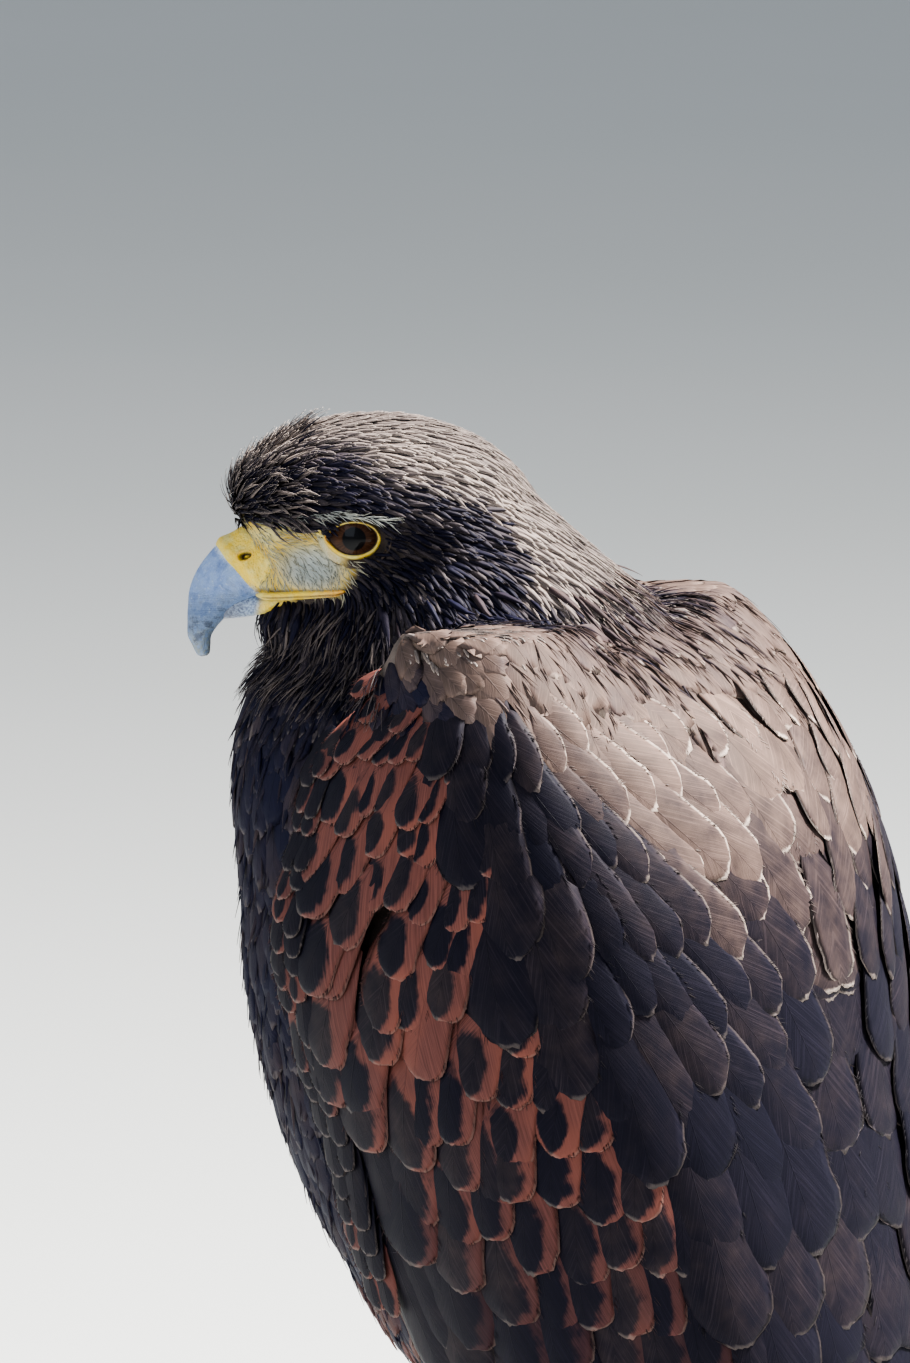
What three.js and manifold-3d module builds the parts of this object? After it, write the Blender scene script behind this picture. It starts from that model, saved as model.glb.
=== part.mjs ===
// A life-size Harris's hawk as a museum shows it: an upright female gripping a cut length of branch on a
// plain display stand, looking over its left shoulder line. Millimetres, +Z up. The body faces -Y and its
// left side is +X; the head is turned HEAD_TURN degrees to the left.
import * as THREE from "three";
import { mergeVertices } from "three/addons/utils/BufferGeometryUtils.js";
import Module from "manifold-3d";

const wasm = await Module();
wasm.setup();

// Driving dimensions
const GAP = 0.3; // between neighbouring pieces
const HEAD_TURN = 30; // degrees, towards the bird's left
const NECK_AXIS = [0, -35]; // x, y of the upright line that the head turns about
const PERCH_TOP = 160;
const PERCH_RADIUS = 20;
const PERCH_Y = -2; // of the branch's axis
const PERCH_HALF_LENGTH = 92;
const BASE_THICK = 14;
const BASE_HALF = [112, 88]; // half length along X, half depth along Y
const BASE_Y = 14;
const ROD_RADIUS = 6;
const ROD_X = 60;
const TARSUS_X = 30; // from the middle of the body to each foot
const EYE_RADIUS = 9;
const EYE_AT = [35.8, 15.2, 448.2]; // forward of the neck axis, to the side, height

// Torso, as level sections: height, middle in y, half width, reach forward, reach back
const TORSO = [
  [431, -38, 12, 18, 22],
  [425, -38, 27, 42, 46],
  [415, -38, 41, 59, 63],
  [400, -36, 51, 69, 73],
  [380, -30, 57, 77, 81],
  [355, -24, 60, 80, 84],
  [325, -18, 61, 84, 86],
  [295, -10, 60, 84, 83],
  [270, 0, 57, 83, 76],
  [249, 10, 52, 80, 67],
  [232, 18, 46, 76, 58],
  [217, 25, 37, 63, 47],
  [205, 32, 24, 42, 33],
  [198, 36, 11, 20, 18],
];
// Neck, as level sections: height, turn in degrees, half width, reach forward, reach back
const NECK = [
  [461, 30, 8, 8, 6],
  [455, 30, 18, 21, 14],
  [444, 28, 27, 38, 26],
  [432, 22, 34, 51, 40],
  [420, 13, 40, 58, 51],
  [408, 5, 42, 60, 56],
  [394, 0, 34, 50, 50],
];
// Head, as upright sections across its own forward line: forward, top, bottom, half width
const HEAD = [
  [-11.5, 457, 447, 4],
  [-7, 463.5, 438, 15],
  [2, 471.5, 430, 22.5],
  [12, 476, 424, 26],
  [23, 478.7, 421, 27],
  [33, 479, 420, 26.2],
  [42, 478.2, 422, 23.8],
  [50, 475.8, 427, 20.2],
  [57, 472, 434, 16.4],
  [62, 468.6, 442, 13],
  [66, 464.4, 449, 9],
  [68.6, 460, 454, 3.5],
];
// Upper bill in the head's middle plane: forward, height, slope in degrees, half height, half width
const BILL = [
  [50, 441.6, 0, 9.6, 9.6],
  [56, 441.2, 3, 9.8, 9.2],
  [61, 440, 9, 9.8, 8.4],
  [67, 436.6, 26, 8.8, 7],
  [72, 431, 50, 7.4, 5.6],
  [74.9, 425.2, 74, 4.8, 4.1],
  [76.3, 420.6, 86, 2.9, 2.8],
  [76.2, 417.4, 98, 1.6, 1.7],
  [75.8, 415.4, 104, 0.6, 0.6],
];
// Lower bill, the same columns
const LOWER_BILL = [
  [44, 429.6, -4, 3, 8],
  [52, 429.3, -2, 3, 7],
  [60, 428.3, 6, 2.8, 5.6],
  [66, 427.2, 10, 2.4, 4],
  [70.4, 426.2, 12, 1.2, 2.2],
];
// Left folded wing as one smooth sheet, in level sections: height, then x and y of its leading edge, of
// its outer ridge and of its inner edge on the back
const WING = [
  [441, 45, -19, 48, -13, 43, -9],
  [434, 49, -34, 60, -3, 27, -2],
  [420, 52, -44, 69, 7, 10, 18],
  [400, 56, -53, 77, 15, 6, 40],
  [375, 58, -58, 82, 23, 6, 56],
  [345, 61, -62, 84, 30, 6, 65],
  [315, 61, -55, 84, 37, 6, 71],
  [290, 59, -47, 82, 43, 6, 76],
  [262, 56, -40, 77, 49, 6, 81],
  [205, 50, -14, 65, 63, 7, 93],
  [150, 44, 30, 53, 78, 12, 101],
  [96, 37, 75, 41, 91, 22, 102],
];
const WING_CORE_END = 262; // height where the solid arm gives way to free vanes
const WING_CORE_DEPTH = 27;

// Tail: from the rump straight down and back
const TAIL_ROOT = [62, 244]; // y, z
const TAIL_SLOPE = 80; // degrees below level
const TAIL_LENGTH = 222;
const TAIL_HALF = [9, 28]; // half spread of the vane middles at the root and at the tip
const RECTRICES = 12;

const rad = (degrees) => (degrees * Math.PI) / 180;
const mix = (a, b, share) => a + (b - a) * share;
const add = (a, b) => a.map((v, i) => v + b[i]);
const sub = (a, b) => a.map((v, i) => v - b[i]);
const scale = (a, k) => a.map((v) => v * k);
const cross = (a, b) => [
  a[1] * b[2] - a[2] * b[1],
  a[2] * b[0] - a[0] * b[2],
  a[0] * b[1] - a[1] * b[0],
];
const unit = (a) => scale(a, 1 / Math.hypot(...a));

// A seeded draw, so that each vane differs a little and every run is alike.
function seeded(seed) {
  let state = seed;
  return () => {
    state = (state * 1664525 + 1013904223) % 4294967296;
    return state / 4294967296 - 0.5;
  };
}

// The columns of a table at one value of its first column, on a smooth curve through its rows.
function along(table, key) {
  const rising = table[0][0] < table[table.length - 1][0];
  const rows = rising ? table : [...table].reverse();
  const last = rows.length - 1;
  let i = 0;
  while (i < last - 1 && key > rows[i + 1][0]) i += 1;
  const [before, from, to, after] = [rows[Math.max(i - 1, 0)], rows[i], rows[i + 1], rows[Math.min(i + 2, last)]];
  const span = to[0] - from[0];
  const share = (key - from[0]) / span;
  const [s2, s3] = [share * share, share * share * share];
  return from.slice(1).map((_, c) => {
    const column = c + 1;
    const slopeFrom = ((to[column] - before[column]) / (to[0] - before[0])) * span;
    const slopeTo = ((after[column] - from[column]) / (after[0] - from[0])) * span;
    const fromPart = (2 * s3 - 3 * s2 + 1) * from[column] + (s3 - 2 * s2 + share) * slopeFrom;
    return fromPart + (3 * s2 - 2 * s3) * to[column] + (s3 - s2) * slopeTo;
  });
}

// Evenly spaced numbers from one end to the other.
const steps = (from, to, count) =>
  Array.from({ length: count + 1 }, (_, i) => mix(from, to, i / count));

// A solid from corner points and triangles, turned the right way out.
function solid(points, faces) {
  const geometry = new THREE.BufferGeometry();
  geometry.setAttribute("position", new THREE.BufferAttribute(new Float32Array(points.flat()), 3));
  geometry.setIndex(faces.flat());
  return solidOf(geometry);
}

function solidOf(geometry) {
  geometry.deleteAttribute("normal");
  geometry.deleteAttribute("uv");
  const merged = mergeVertices(geometry, 1e-4);
  const make = (triangles) =>
    new wasm.Manifold(
      new wasm.Mesh({ numProp: 3, vertProperties: merged.attributes.position.array, triVerts: triangles }),
    );
  const triangles = new Uint32Array(merged.index.array);
  const made = make(triangles);
  if (made.volume() > 0) return made;
  for (let i = 0; i < triangles.length; i += 3) {
    [triangles[i + 1], triangles[i + 2]] = [triangles[i + 2], triangles[i + 1]];
  }
  return make(triangles);
}

// A closed body through a row of rings with the same number of points. Each end closes on its middle, or
// on its first corner.
function loft(rings, domed = true) {
  const count = rings[0].length;
  const points = rings.flat();
  const faces = [];
  for (let r = 0; r < rings.length - 1; r += 1) {
    for (let i = 0; i < count; i += 1) {
      const next = (i + 1) % count;
      const [a, b, c, d] = [r * count + i, r * count + next, (r + 1) * count + next, (r + 1) * count + i];
      faces.push([a, b, c], [a, c, d]);
    }
  }
  for (const [ring, turned] of [[0, true], [rings.length - 1, false]]) {
    const hub = domed ? points.push(scale(rings[ring].reduce(add), 1 / count)) - 1 : ring * count;
    for (let i = domed ? 0 : 1; i < (domed ? count : count - 1); i += 1) {
      const [a, b] = [ring * count + i, ring * count + ((i + 1) % count)];
      faces.push(turned ? [hub, b, a] : [hub, a, b]);
    }
  }
  return solid(points, faces);
}

// A closed body between two sheets of points of the same rows and columns, split alike on both.
function plate(outer, inner) {
  const [rows, columns] = [outer.length, outer[0].length];
  const points = [...outer.flat(), ...inner.flat()];
  const below = rows * columns;
  const at = (r, c) => r * columns + c;
  const faces = [];
  for (let r = 0; r < rows - 1; r += 1) {
    for (let c = 0; c < columns - 1; c += 1) {
      const [a, b, d, e] = [at(r, c), at(r, c + 1), at(r + 1, c + 1), at(r + 1, c)];
      faces.push([a, b, d], [a, d, e]);
      faces.push([a + below, d + below, b + below], [a + below, e + below, d + below]);
    }
  }
  const rim = [];
  for (let c = 0; c < columns - 1; c += 1) rim.push(at(0, c));
  for (let r = 0; r < rows - 1; r += 1) rim.push(at(r, columns - 1));
  for (let c = columns - 1; c > 0; c -= 1) rim.push(at(rows - 1, c));
  for (let r = rows - 1; r > 0; r -= 1) rim.push(at(r, 0));
  rim.forEach((a, i) => {
    const b = rim[(i + 1) % rim.length];
    faces.push([b, a, a + below], [b, a + below, b + below]);
  });
  return solid(points, faces);
}

// A round body along a path of points, its radius given at each.
function sweep(path, radii, sides = 8, flat = 1) {
  let side = [1, 0, 0];
  const rings = path.map((point, i) => {
    const way = unit(sub(path[Math.min(i + 1, path.length - 1)], path[Math.max(i - 1, 0)]));
    side = unit(sub(side, scale(way, way[0] * side[0] + way[1] * side[1] + way[2] * side[2])));
    const up = cross(way, side);
    return steps(0, 2 * Math.PI, sides)
      .slice(0, sides)
      .map((angle) =>
        add(point, add(scale(side, radii[i] * Math.cos(angle)), scale(up, radii[i] * flat * Math.sin(angle)))),
      );
  });
  return loft(rings);
}

function ellipsoid(middle, radii, turn = 0, sides = 16) {
  const geometry = new THREE.SphereGeometry(1, sides, Math.round(sides * 0.6));
  geometry.rotateX(Math.PI / 2).scale(...radii).rotateZ(rad(turn)).translate(...middle);
  return solidOf(geometry);
}

const joined = (solids) => wasm.Manifold.union(solids);
const largest = (made) => made.decompose().sort((a, b) => b.volume() - a.volume())[0];
const mirrored = (made) => made.mirror([1, 0, 0]);

// Head frame: a place given as forward, to the left side, and height
const [headSin, headCos] = [Math.sin(rad(HEAD_TURN)), Math.cos(rad(HEAD_TURN))];
const headPoint = (forward, side, z) => [
  NECK_AXIS[0] + forward * headSin + side * headCos,
  NECK_AXIS[1] - forward * headCos + side * headSin,
  z,
];

// One level section: a superellipse with its own reach forward and back, turned towards the left.
function levelRing([x, y, z], turn, half, front, back, grow, sides) {
  const roundness = 0.92;
  const power = (v) => Math.sign(v) * Math.abs(v) ** roundness;
  return steps(0, 2 * Math.PI, sides)
    .slice(0, sides)
    .map((angle) => {
      const across = power(Math.sin(angle)) * (half + grow);
      const forward = power(Math.cos(angle)) * ((Math.cos(angle) > 0 ? front : back) + grow);
      const [s, c] = [Math.sin(rad(turn)), Math.cos(rad(turn))];
      return [x + forward * s + across * c, y - forward * c + across * s, z];
    });
}

function torso(grow = 0) {
  const sides = 24;
  const rings = steps(TORSO[0][0] + grow, TORSO[TORSO.length - 1][0] - grow, 15).map((z) => {
    const [y, half, front, back] = along(TORSO, z);
    return levelRing([0, y, z], 0, half, front, back, grow, sides);
  });
  return loft(rings);
}

function neck(grow = 0) {
  const sides = 20;
  const rings = steps(NECK[0][0] + grow, NECK[NECK.length - 1][0] - grow, 6).map((z) => {
    const [turn, half, front, back] = along(NECK, z);
    return levelRing([...NECK_AXIS, z], turn, half, front, back, grow, sides);
  });
  return loft(rings);
}

function head(grow = 0) {
  const sides = 20;
  const stations = [-11.5, -8.5, -2, 8, 19, 30, 40, 48, 55, 60, 64.5, 68.6];
  const rings = stations.map((forward) => {
    const [top, bottom, half] = along(HEAD, forward);
    const [middle, tall] = [(top + bottom) / 2, (top - bottom) / 2 + grow];
    return steps(0, 2 * Math.PI, sides)
      .slice(0, sides)
      .map((angle) =>
        headPoint(forward, Math.sin(angle) * (half + grow), middle + Math.cos(angle) * tall),
      );
  });
  const skull = loft(rings);
  const jaw = ellipsoid(headPoint(43, 0, 424), [13.5 + grow, 19.5 + grow, 9.8 + grow], HEAD_TURN, 10);
  const lores = [-1, 1].map((side) => {
    const middle = headPoint(53.5, side * 22.4, 441);
    return ellipsoid(middle, [11.6 - grow, 15 - grow, 9 - grow], HEAD_TURN, 10);
  });
  const sockets = [-1, 1].map((side) => {
    const middle = headPoint(EYE_AT[0] + 1, side * 28.6, EYE_AT[2] - 0.6);
    return ellipsoid(middle, [6 - grow, 9.5 - grow, 6.6 - grow], HEAD_TURN, 10);
  });
  return joined([skull, jaw]).subtract(joined([...lores, ...sockets]));
}

// The bony shelf over each eye
function brows() {
  return [-1, 1].map((side) => {
    const path = [
      [56, 10.5, 451.5],
      [49, 17, 453.6],
      [41, 21.6, 455.6],
      [32, 24.4, 455.9],
      [23, 25.4, 453],
    ].map(([forward, out, z]) => headPoint(forward, side * out, z));
    return sweep(path, [1.4, 2.2, 2.6, 2.5, 1], 6);
  });
}

const LID_POINTS = 12;
const LID_SIDES = 4;

// The rim of skin around each eye, an almond with its sharp corner forward.
function lids() {
  return [-1, 1].map((side) => {
    const corners = steps(0, 2 * Math.PI, LID_POINTS).slice(0, LID_POINTS);
    const path = corners.map((angle) => {
      const forward = 7.3 * Math.cos(angle);
      const height = 5.5 * Math.sin(angle) * (1 - 0.25 * Math.max(0, Math.cos(angle)));
      const out = Math.sqrt((EYE_RADIUS + 1) ** 2 - forward ** 2 - height ** 2);
      return headPoint(EYE_AT[0] + forward, side * (EYE_AT[1] + out - 0.8), EYE_AT[2] + height);
    });
    const tube = 1.25;
    const rings = path.map((point, i) => {
      const way = unit(sub(path[(i + 1) % LID_POINTS], path[(i + LID_POINTS - 1) % LID_POINTS]));
      const out = unit(sub(point, headPoint(EYE_AT[0], side * EYE_AT[1], EYE_AT[2])));
      const up = cross(way, out);
      return steps(0, 2 * Math.PI, LID_SIDES)
        .slice(0, LID_SIDES)
        .map((turn) => add(point, add(scale(out, tube * Math.cos(turn)), scale(up, tube * Math.sin(turn)))));
    });
    const points = rings.flat();
    const faces = [];
    rings.forEach((_, r) => {
      const [here, beyond] = [r * LID_SIDES, ((r + 1) % LID_POINTS) * LID_SIDES];
      for (let i = 0; i < LID_SIDES; i += 1) {
        const next = (i + 1) % LID_SIDES;
        faces.push([here + i, here + next, beyond + next], [here + i, beyond + next, beyond + i]);
      }
    });
    return solid(points, faces);
  });
}

// The fleshy edge of the mouth, from under the cere back to the corner of the gape.
function gapes() {
  return [-1, 1].map((side) => {
    const path = [
      [61, 8.2, 431.4],
      [55, 10.2, 431.6],
      [49, 12.8, 432.2],
      [43.5, 16.6, 433],
      [39, 19.4, 433.6],
    ].map(([forward, out, z]) => headPoint(forward, side * out, z));
    return sweep(path, [1.2, 1.6, 1.7, 1.6, 0.9], 4);
  });
}

// The line of the mouth, cut under that edge
function mouths() {
  return [-1, 1].map((side) => {
    const path = [
      [59, 9.5, 429.2],
      [50, 14, 429.6],
      [41, 20.5, 430.8],
      [36, 24, 431.8],
    ].map(([forward, out, z]) => headPoint(forward, side * out, z));
    return sweep(path, [0.9, 0.9, 0.9, 0.5], 4);
  });
}

function billLoft(table, grow, count, keel) {
  const sides = 12;
  const keys = table.map((row, i) => [i, ...row]);
  const rings = steps(0, table.length - 1, count).map((key) => {
    const [forward, z, slope, tall, half] = along(keys, key);
    const [s, c] = [Math.sin(rad(slope)), Math.cos(rad(slope))];
    return steps(0, 2 * Math.PI, sides)
      .slice(0, sides)
      .map((angle) => {
        const up = Math.cos(angle) * (tall + grow);
        const narrowed = 1 - keel * Math.max(0, Math.cos(angle));
        return headPoint(forward + up * s, Math.sin(angle) * (half + grow) * narrowed, z + up * c);
      });
  });
  return loft(rings);
}

// Wing sheet: a point by height and by the share across from leading edge to inner edge, lifted outwards.
function wingFlat(z, across) {
  const [leadX, leadY, ridgeX, ridgeY, innerX, innerY] = along(WING, z);
  const middle = [2 * ridgeX - (leadX + innerX) / 2, 2 * ridgeY - (leadY + innerY) / 2];
  const [a, b, c] = [(1 - across) ** 2, 2 * across * (1 - across), across ** 2];
  return [a * leadX + b * middle[0] + c * innerX, a * leadY + b * middle[1] + c * innerY, z];
}

function wingPoint(z, across, lift) {
  const d = 0.01;
  const overWidth = sub(wingFlat(z, across + d), wingFlat(z, across - d));
  const overHeight = sub(wingFlat(z + 1, across), wingFlat(z - 1, across));
  return add(wingFlat(z, across), scale(unit(cross(overWidth, overHeight)), lift));
}

function wingWidth(z) {
  const cuts = steps(0, 1, 8).map((across) => wingFlat(z, across));
  return cuts.slice(1).reduce((sum, point, i) => sum + Math.hypot(...sub(point, cuts[i])), 0);
}

// Tail sheet: a point by height and by millimetres across, lifted outwards (backwards).
const tailDown = [0, Math.cos(rad(TAIL_SLOPE)), -Math.sin(rad(TAIL_SLOPE))];
const tailOut = [0, Math.sin(rad(TAIL_SLOPE)), Math.cos(rad(TAIL_SLOPE))];
const TAIL_CROWN = 0.0008; // how fast the folded tail falls away to its sides
function tailPoint(down, across, lift) {
  const middle = [0, TAIL_ROOT[0], TAIL_ROOT[1]];
  const fallen = lift - TAIL_CROWN * across * across;
  return add(add(middle, scale(tailDown, down)), add([across, 0, 0], scale(tailOut, fallen)));
}

// Outlines of a vane: share of its length, share of its width
const BROAD_TIP = [[0, 0.62], [0.6, 1], [0.86, 0.84], [1, 0.26]];
const LONG_TIP = [[0, 0.5], [0.42, 0.95], [0.88, 1], [1, 0.34]];
const ROUND_TIP = [[0, 0.5], [0.45, 0.95], [0.88, 1], [0.97, 0.72], [1, 0.3]];
const POINTED_TIP = [[0, 0.5], [0.4, 1], [0.74, 0.86], [1, 0.12]];
const VANE_THICK = 0.8;

// One feather vane on a sheet: a thin four-sided body with a flat face out.
// place(length share, millimetres to the left of the shaft, lift) gives its points.
function vane(place, { half, lifts, roll, outline, thick = VANE_THICK }) {
  const rings = outline.map(([share, width]) => {
    const lift = mix(lifts[0], lifts[1], share ** 0.6);
    const reach = half * width;
    const tilt = roll * width;
    return [
      place(share, -reach, lift - tilt),
      place(share, reach, lift + tilt),
      place(share, reach, lift + tilt - thick),
      place(share, -reach, lift - tilt - thick),
    ];
  });
  return loft(rings, false);
}

// A vane on the wing, its shaft running from one height and share across to another.
function wingVane([fromZ, fromAcross], [toZ, toAcross], options) {
  return vane(
    (share, left, lift) => {
      const [z, across] = [mix(fromZ, toZ, share), mix(fromAcross, toAcross, share)];
      const width = wingWidth(z);
      const way = unit([toZ - fromZ, (toAcross - fromAcross) * width]);
      return wingPoint(z + way[1] * left, across - (way[0] * left) / width, lift);
    },
    options,
  );
}

// A row of vanes across the wing. tip(across) gives each tip's height.
function wingRow(list, count, from, to, length, tip, slant, options, draw) {
  steps(from, to, count - 1).forEach((across) => {
    const end = tip(across) + draw() * 4;
    const start = Math.min(end + length, 427);
    const half = options.half * (1 + draw() * 0.12);
    const root = [start, across - slant * (across < 0.5 ? 1 : 0.4) + 0.012];
    list.push(wingVane(root, [end, across], { ...options, half }));
  });
}

// The rows of the folded wing, from the innermost layer outwards.
function wingVanes() {
  const draw = seeded(7);
  const vanes = [];
  // Primaries: roots at the hand, tips stepped towards the wing's point, each on a level of its own
  const primaryTips = [150, 124, 108, 99, 98, 108];
  primaryTips.forEach((end, i) => {
    const share = i / (primaryTips.length - 1);
    const level = -9.2 + 1.1 * i;
    const options = { half: 9.5, lifts: [level, level], roll: 0, outline: LONG_TIP };
    vanes.push(wingVane([288, 0.12 + 0.2 * share], [end, 0.1 + 0.7 * share], options));
  });
  // Secondaries: roots along the forearm
  const secondaries = 8;
  for (let i = 0; i < secondaries; i += 1) {
    const share = i / (secondaries - 1);
    const options = { half: 13, lifts: [-2.6, -0.6], roll: 1.3, outline: ROUND_TIP };
    const end = mix(152, 180, share) + draw() * 3;
    vanes.push(wingVane([290, 0.1 + 0.8 * share], [end, 0.14 + 0.78 * share], options));
  }
  // Greater, median and lesser coverts, down the outer face
  const covert = { roll: 1.2, outline: BROAD_TIP };
  wingRow(vanes, 7, 0.06, 0.74, 40, (a) => 262 - 20 * Math.sin(Math.PI * a), 0.01,
    { ...covert, half: 13, lifts: [-5, 1.4] }, draw);
  wingRow(vanes, 6, 0.05, 0.56, 40, (a) => 288 - 16 * Math.sin(Math.PI * a), 0.015,
    { ...covert, half: 11.5, lifts: [-5, 2.2] }, draw);
  wingRow(vanes, 5, 0.04, 0.44, 38, (a) => 316 - 10 * Math.sin(Math.PI * a), 0.02,
    { ...covert, half: 10.5, lifts: [-5, 2.4] }, draw);
  wingRow(vanes, 4, 0.04, 0.36, 36, () => 343, 0.02, { ...covert, half: 9.5, lifts: [-5, 2.2] }, draw);
  wingRow(vanes, 3, 0.06, 0.3, 34, () => 371, 0.02, { ...covert, half: 9, lifts: [-5, 1.8] }, draw);
  // Scapulars: broad round vanes hanging from the shoulder over the inner wing
  const scapular = { roll: 1.3, outline: BROAD_TIP };
  wingRow(vanes, 3, 0.66, 0.95, 62, (a) => 250 + 12 * a, 0,
    { ...scapular, half: 17, lifts: [-5, 2.8] }, draw);
  wingRow(vanes, 3, 0.62, 0.955, 54, (a) => 286 + 8 * a, 0,
    { ...scapular, half: 16, lifts: [-5, 3.6] }, draw);
  wingRow(vanes, 4, 0.49, 0.95, 48, (a) => 318 + 8 * a, 0,
    { ...scapular, half: 14, lifts: [-5, 3.8] }, draw);
  wingRow(vanes, 4, 0.43, 0.945, 44, (a) => 349 + 6 * a, 0,
    { ...scapular, half: 13, lifts: [-5, 3.6] }, draw);
  wingRow(vanes, 4, 0.37, 0.91, 40, (a) => 378 + 6 * a, 0,
    { ...scapular, half: 12, lifts: [-5, 3] }, draw);
  return vanes;
}

function wing() {
  const rows = [440, 436, 428, 416, 398, 372, 338, 300, WING_CORE_END];
  const sheet = (depth) =>
    rows.map((z) => steps(0.02, 0.98, 6).map((across) => wingPoint(z, across, -1.4 - depth(z, across))));
  const taper = (z) => Math.min(1, (z - WING_CORE_END) / 40 + 0.28) * Math.min(1, (442 - z) / 26);
  const inner = (z, across) => WING_CORE_DEPTH * taper(z) * (1 - 0.55 * across ** 3);
  const core = plate(sheet(() => 0), sheet(inner));
  return joined([core, ...wingVanes()]);
}

function tail(body) {
  const vanes = [];
  const step = 0.95; // from one vane's level to the next
  for (let i = 0; i < RECTRICES; i += 1) {
    const share = (i / (RECTRICES - 1)) * 2 - 1; // -1 at the right edge, 1 at the left
    const pair = Math.abs(i - (RECTRICES - 1) / 2) - 0.5; // 0 for the middle pair
    const level = pair < 2 ? 2 * pair + (share < 0 ? 1 : 0) : pair + 2;
    const lift = 6 - level * step;
    const length = TAIL_LENGTH * (1 - 0.03 * share * share);
    const place = (part, left, up) =>
      tailPoint(length * part, share * mix(TAIL_HALF[0], TAIL_HALF[1], part ** 0.8) + left, up);
    vanes.push(vane(place, { half: 11, lifts: [lift, lift], roll: 0, outline: LONG_TIP, thick: 0.6 }));
  }
  const root = ellipsoid([0, TAIL_ROOT[0] + 2, TAIL_ROOT[1] - 26], [18, 11, 36], 0, 12);
  // Coverts under the tail, then over it
  for (const [count, reach, length, lifts] of [[4, 15, 88, [-6, -5.2]], [3, 9, 64, [-6, -8.4]], [4, 12, 72, [4, 8.4]]]) {
    steps(-1, 1, count - 1).forEach((share) => {
      const place = (part, left, up) => tailPoint(6 + length * part, share * reach + left, up);
      vanes.push(vane(place, { half: 8, lifts, roll: 0.9, outline: POINTED_TIP }));
    });
  }
  return largest(joined([root, ...vanes]).subtract(body));
}

// Legs: feathered thigh, bare shank, and toes that follow the branch round
const THIGH = [
  [276, 25, -20, 19, 26],
  [254, 27, -16, 20.5, 27],
  [234, 28.5, -7, 18.5, 23],
  [216, 29.5, 2, 14, 16.5],
  [203, 30, 7, 9, 10.5],
  [198, 30, 8, 6.5, 7],
];
function thigh(side, grow = 0) {
  const rings = steps(THIGH[0][0] + grow, THIGH[THIGH.length - 1][0] - grow, 8).map((z) => {
    const [x, y, half, deep] = along(THIGH, z);
    return levelRing([side * x, y, z], 0, half, deep, deep, grow, 14);
  });
  return loft(rings);
}

function shank(side, grow = 0) {
  const foot = [side * TARSUS_X, PERCH_Y - 1, PERCH_TOP + 5];
  const top = [side * 30, 16, 222];
  const path = steps(0, 1, 4).map((share) => [0, 1, 2].map((axis) => mix(top[axis], foot[axis], share)));
  return sweep(path, [5, 4.7, 4.5, 4.7, 5.8].map((radius) => radius + grow), 10, 1.12);
}

// A point beside the branch: round it from its top towards the front, along it, and off its bark.
const perchAxis = [PERCH_Y, PERCH_TOP - PERCH_RADIUS];
const aroundPerch = (round, x, off) => [
  x,
  perchAxis[0] - Math.sin(round) * (PERCH_RADIUS + off),
  perchAxis[1] + Math.cos(round) * (PERCH_RADIUS + off),
];

// Toes: length, spread sideways for each unit of length, radius at the root; the last one points back
const TOES = [
  { length: 34, spread: 0.5, thick: 4.6, claw: 17 },
  { length: 44, spread: 0.06, thick: 4.8, claw: 17 },
  { length: 33, spread: -0.46, thick: 4.3, claw: 15 },
  { length: -27, spread: 0.12, thick: 5, claw: -19 },
];

function toePath(side, toe, from, to, count, thickAt) {
  return steps(from, to, count).map((share) => {
    const run = toe.length * share;
    const radius = thickAt(share);
    const round = run / (PERCH_RADIUS + 5);
    return aroundPerch(round, side * (TARSUS_X - toe.spread * Math.abs(run)), radius + GAP);
  });
}

const toeThick = (toe) => (share) => toe.thick * mix(1, 0.66, share) * (1 + 0.05 * Math.cos(share * 19));

function foot(side, grow = 0) {
  const toes = TOES.map((toe) => {
    const thickAt = toeThick(toe);
    const path = toePath(side, toe, 0, 1 + grow / 30, 5, thickAt);
    return sweep(path, steps(0, 1, 5).map((share) => thickAt(share) + grow), 6);
  });
  const middle = [side * TARSUS_X, PERCH_Y, PERCH_TOP + 6.5];
  const pad = ellipsoid(middle, [8.5 + grow, 9.5 + grow, 6.2 + grow], 0, 10);
  return joined([pad, ...toes]);
}

function claw(side, toe) {
  const start = toe.length * 1.0 + Math.sign(toe.length) * 0.6;
  const root = toe.thick * 0.6;
  const path = steps(0, 1, 5).map((share) => {
    const run = start + toe.claw * share;
    const thick = root * (1 - share) ** 0.8 + 0.35;
    const arch = 2.2 * Math.sin(Math.PI * share);
    const round = run / (PERCH_RADIUS + 5);
    return aroundPerch(round, side * (TARSUS_X - toe.spread * Math.abs(run)), thick + GAP + 0.1 + arch);
  });
  return sweep(path, steps(0, 1, 5).map((share) => root * (1 - share) ** 0.8 + 0.35), 7);
}

// Stand: a flat base, two rods and a cut branch
function roundedBox([halfX, halfY, thick], corner, bevel) {
  const shape = new THREE.Shape();
  const [w, d] = [halfX - bevel, halfY - bevel];
  shape.moveTo(-w + corner, -d);
  shape.lineTo(w - corner, -d);
  shape.absarc(w - corner, -d + corner, corner, -Math.PI / 2, 0);
  shape.lineTo(w, d - corner);
  shape.absarc(w - corner, d - corner, corner, 0, Math.PI / 2);
  shape.lineTo(-w + corner, d);
  shape.absarc(-w + corner, d - corner, corner, Math.PI / 2, Math.PI);
  shape.lineTo(-w, -d + corner);
  shape.absarc(-w + corner, -d + corner, corner, Math.PI, 1.5 * Math.PI);
  const geometry = new THREE.ExtrudeGeometry(shape, {
    depth: thick - 2 * bevel,
    bevelThickness: bevel,
    bevelSize: bevel,
    bevelSegments: 1,
    curveSegments: 4,
  });
  geometry.translate(0, 0, bevel);
  return solidOf(geometry);
}

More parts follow.
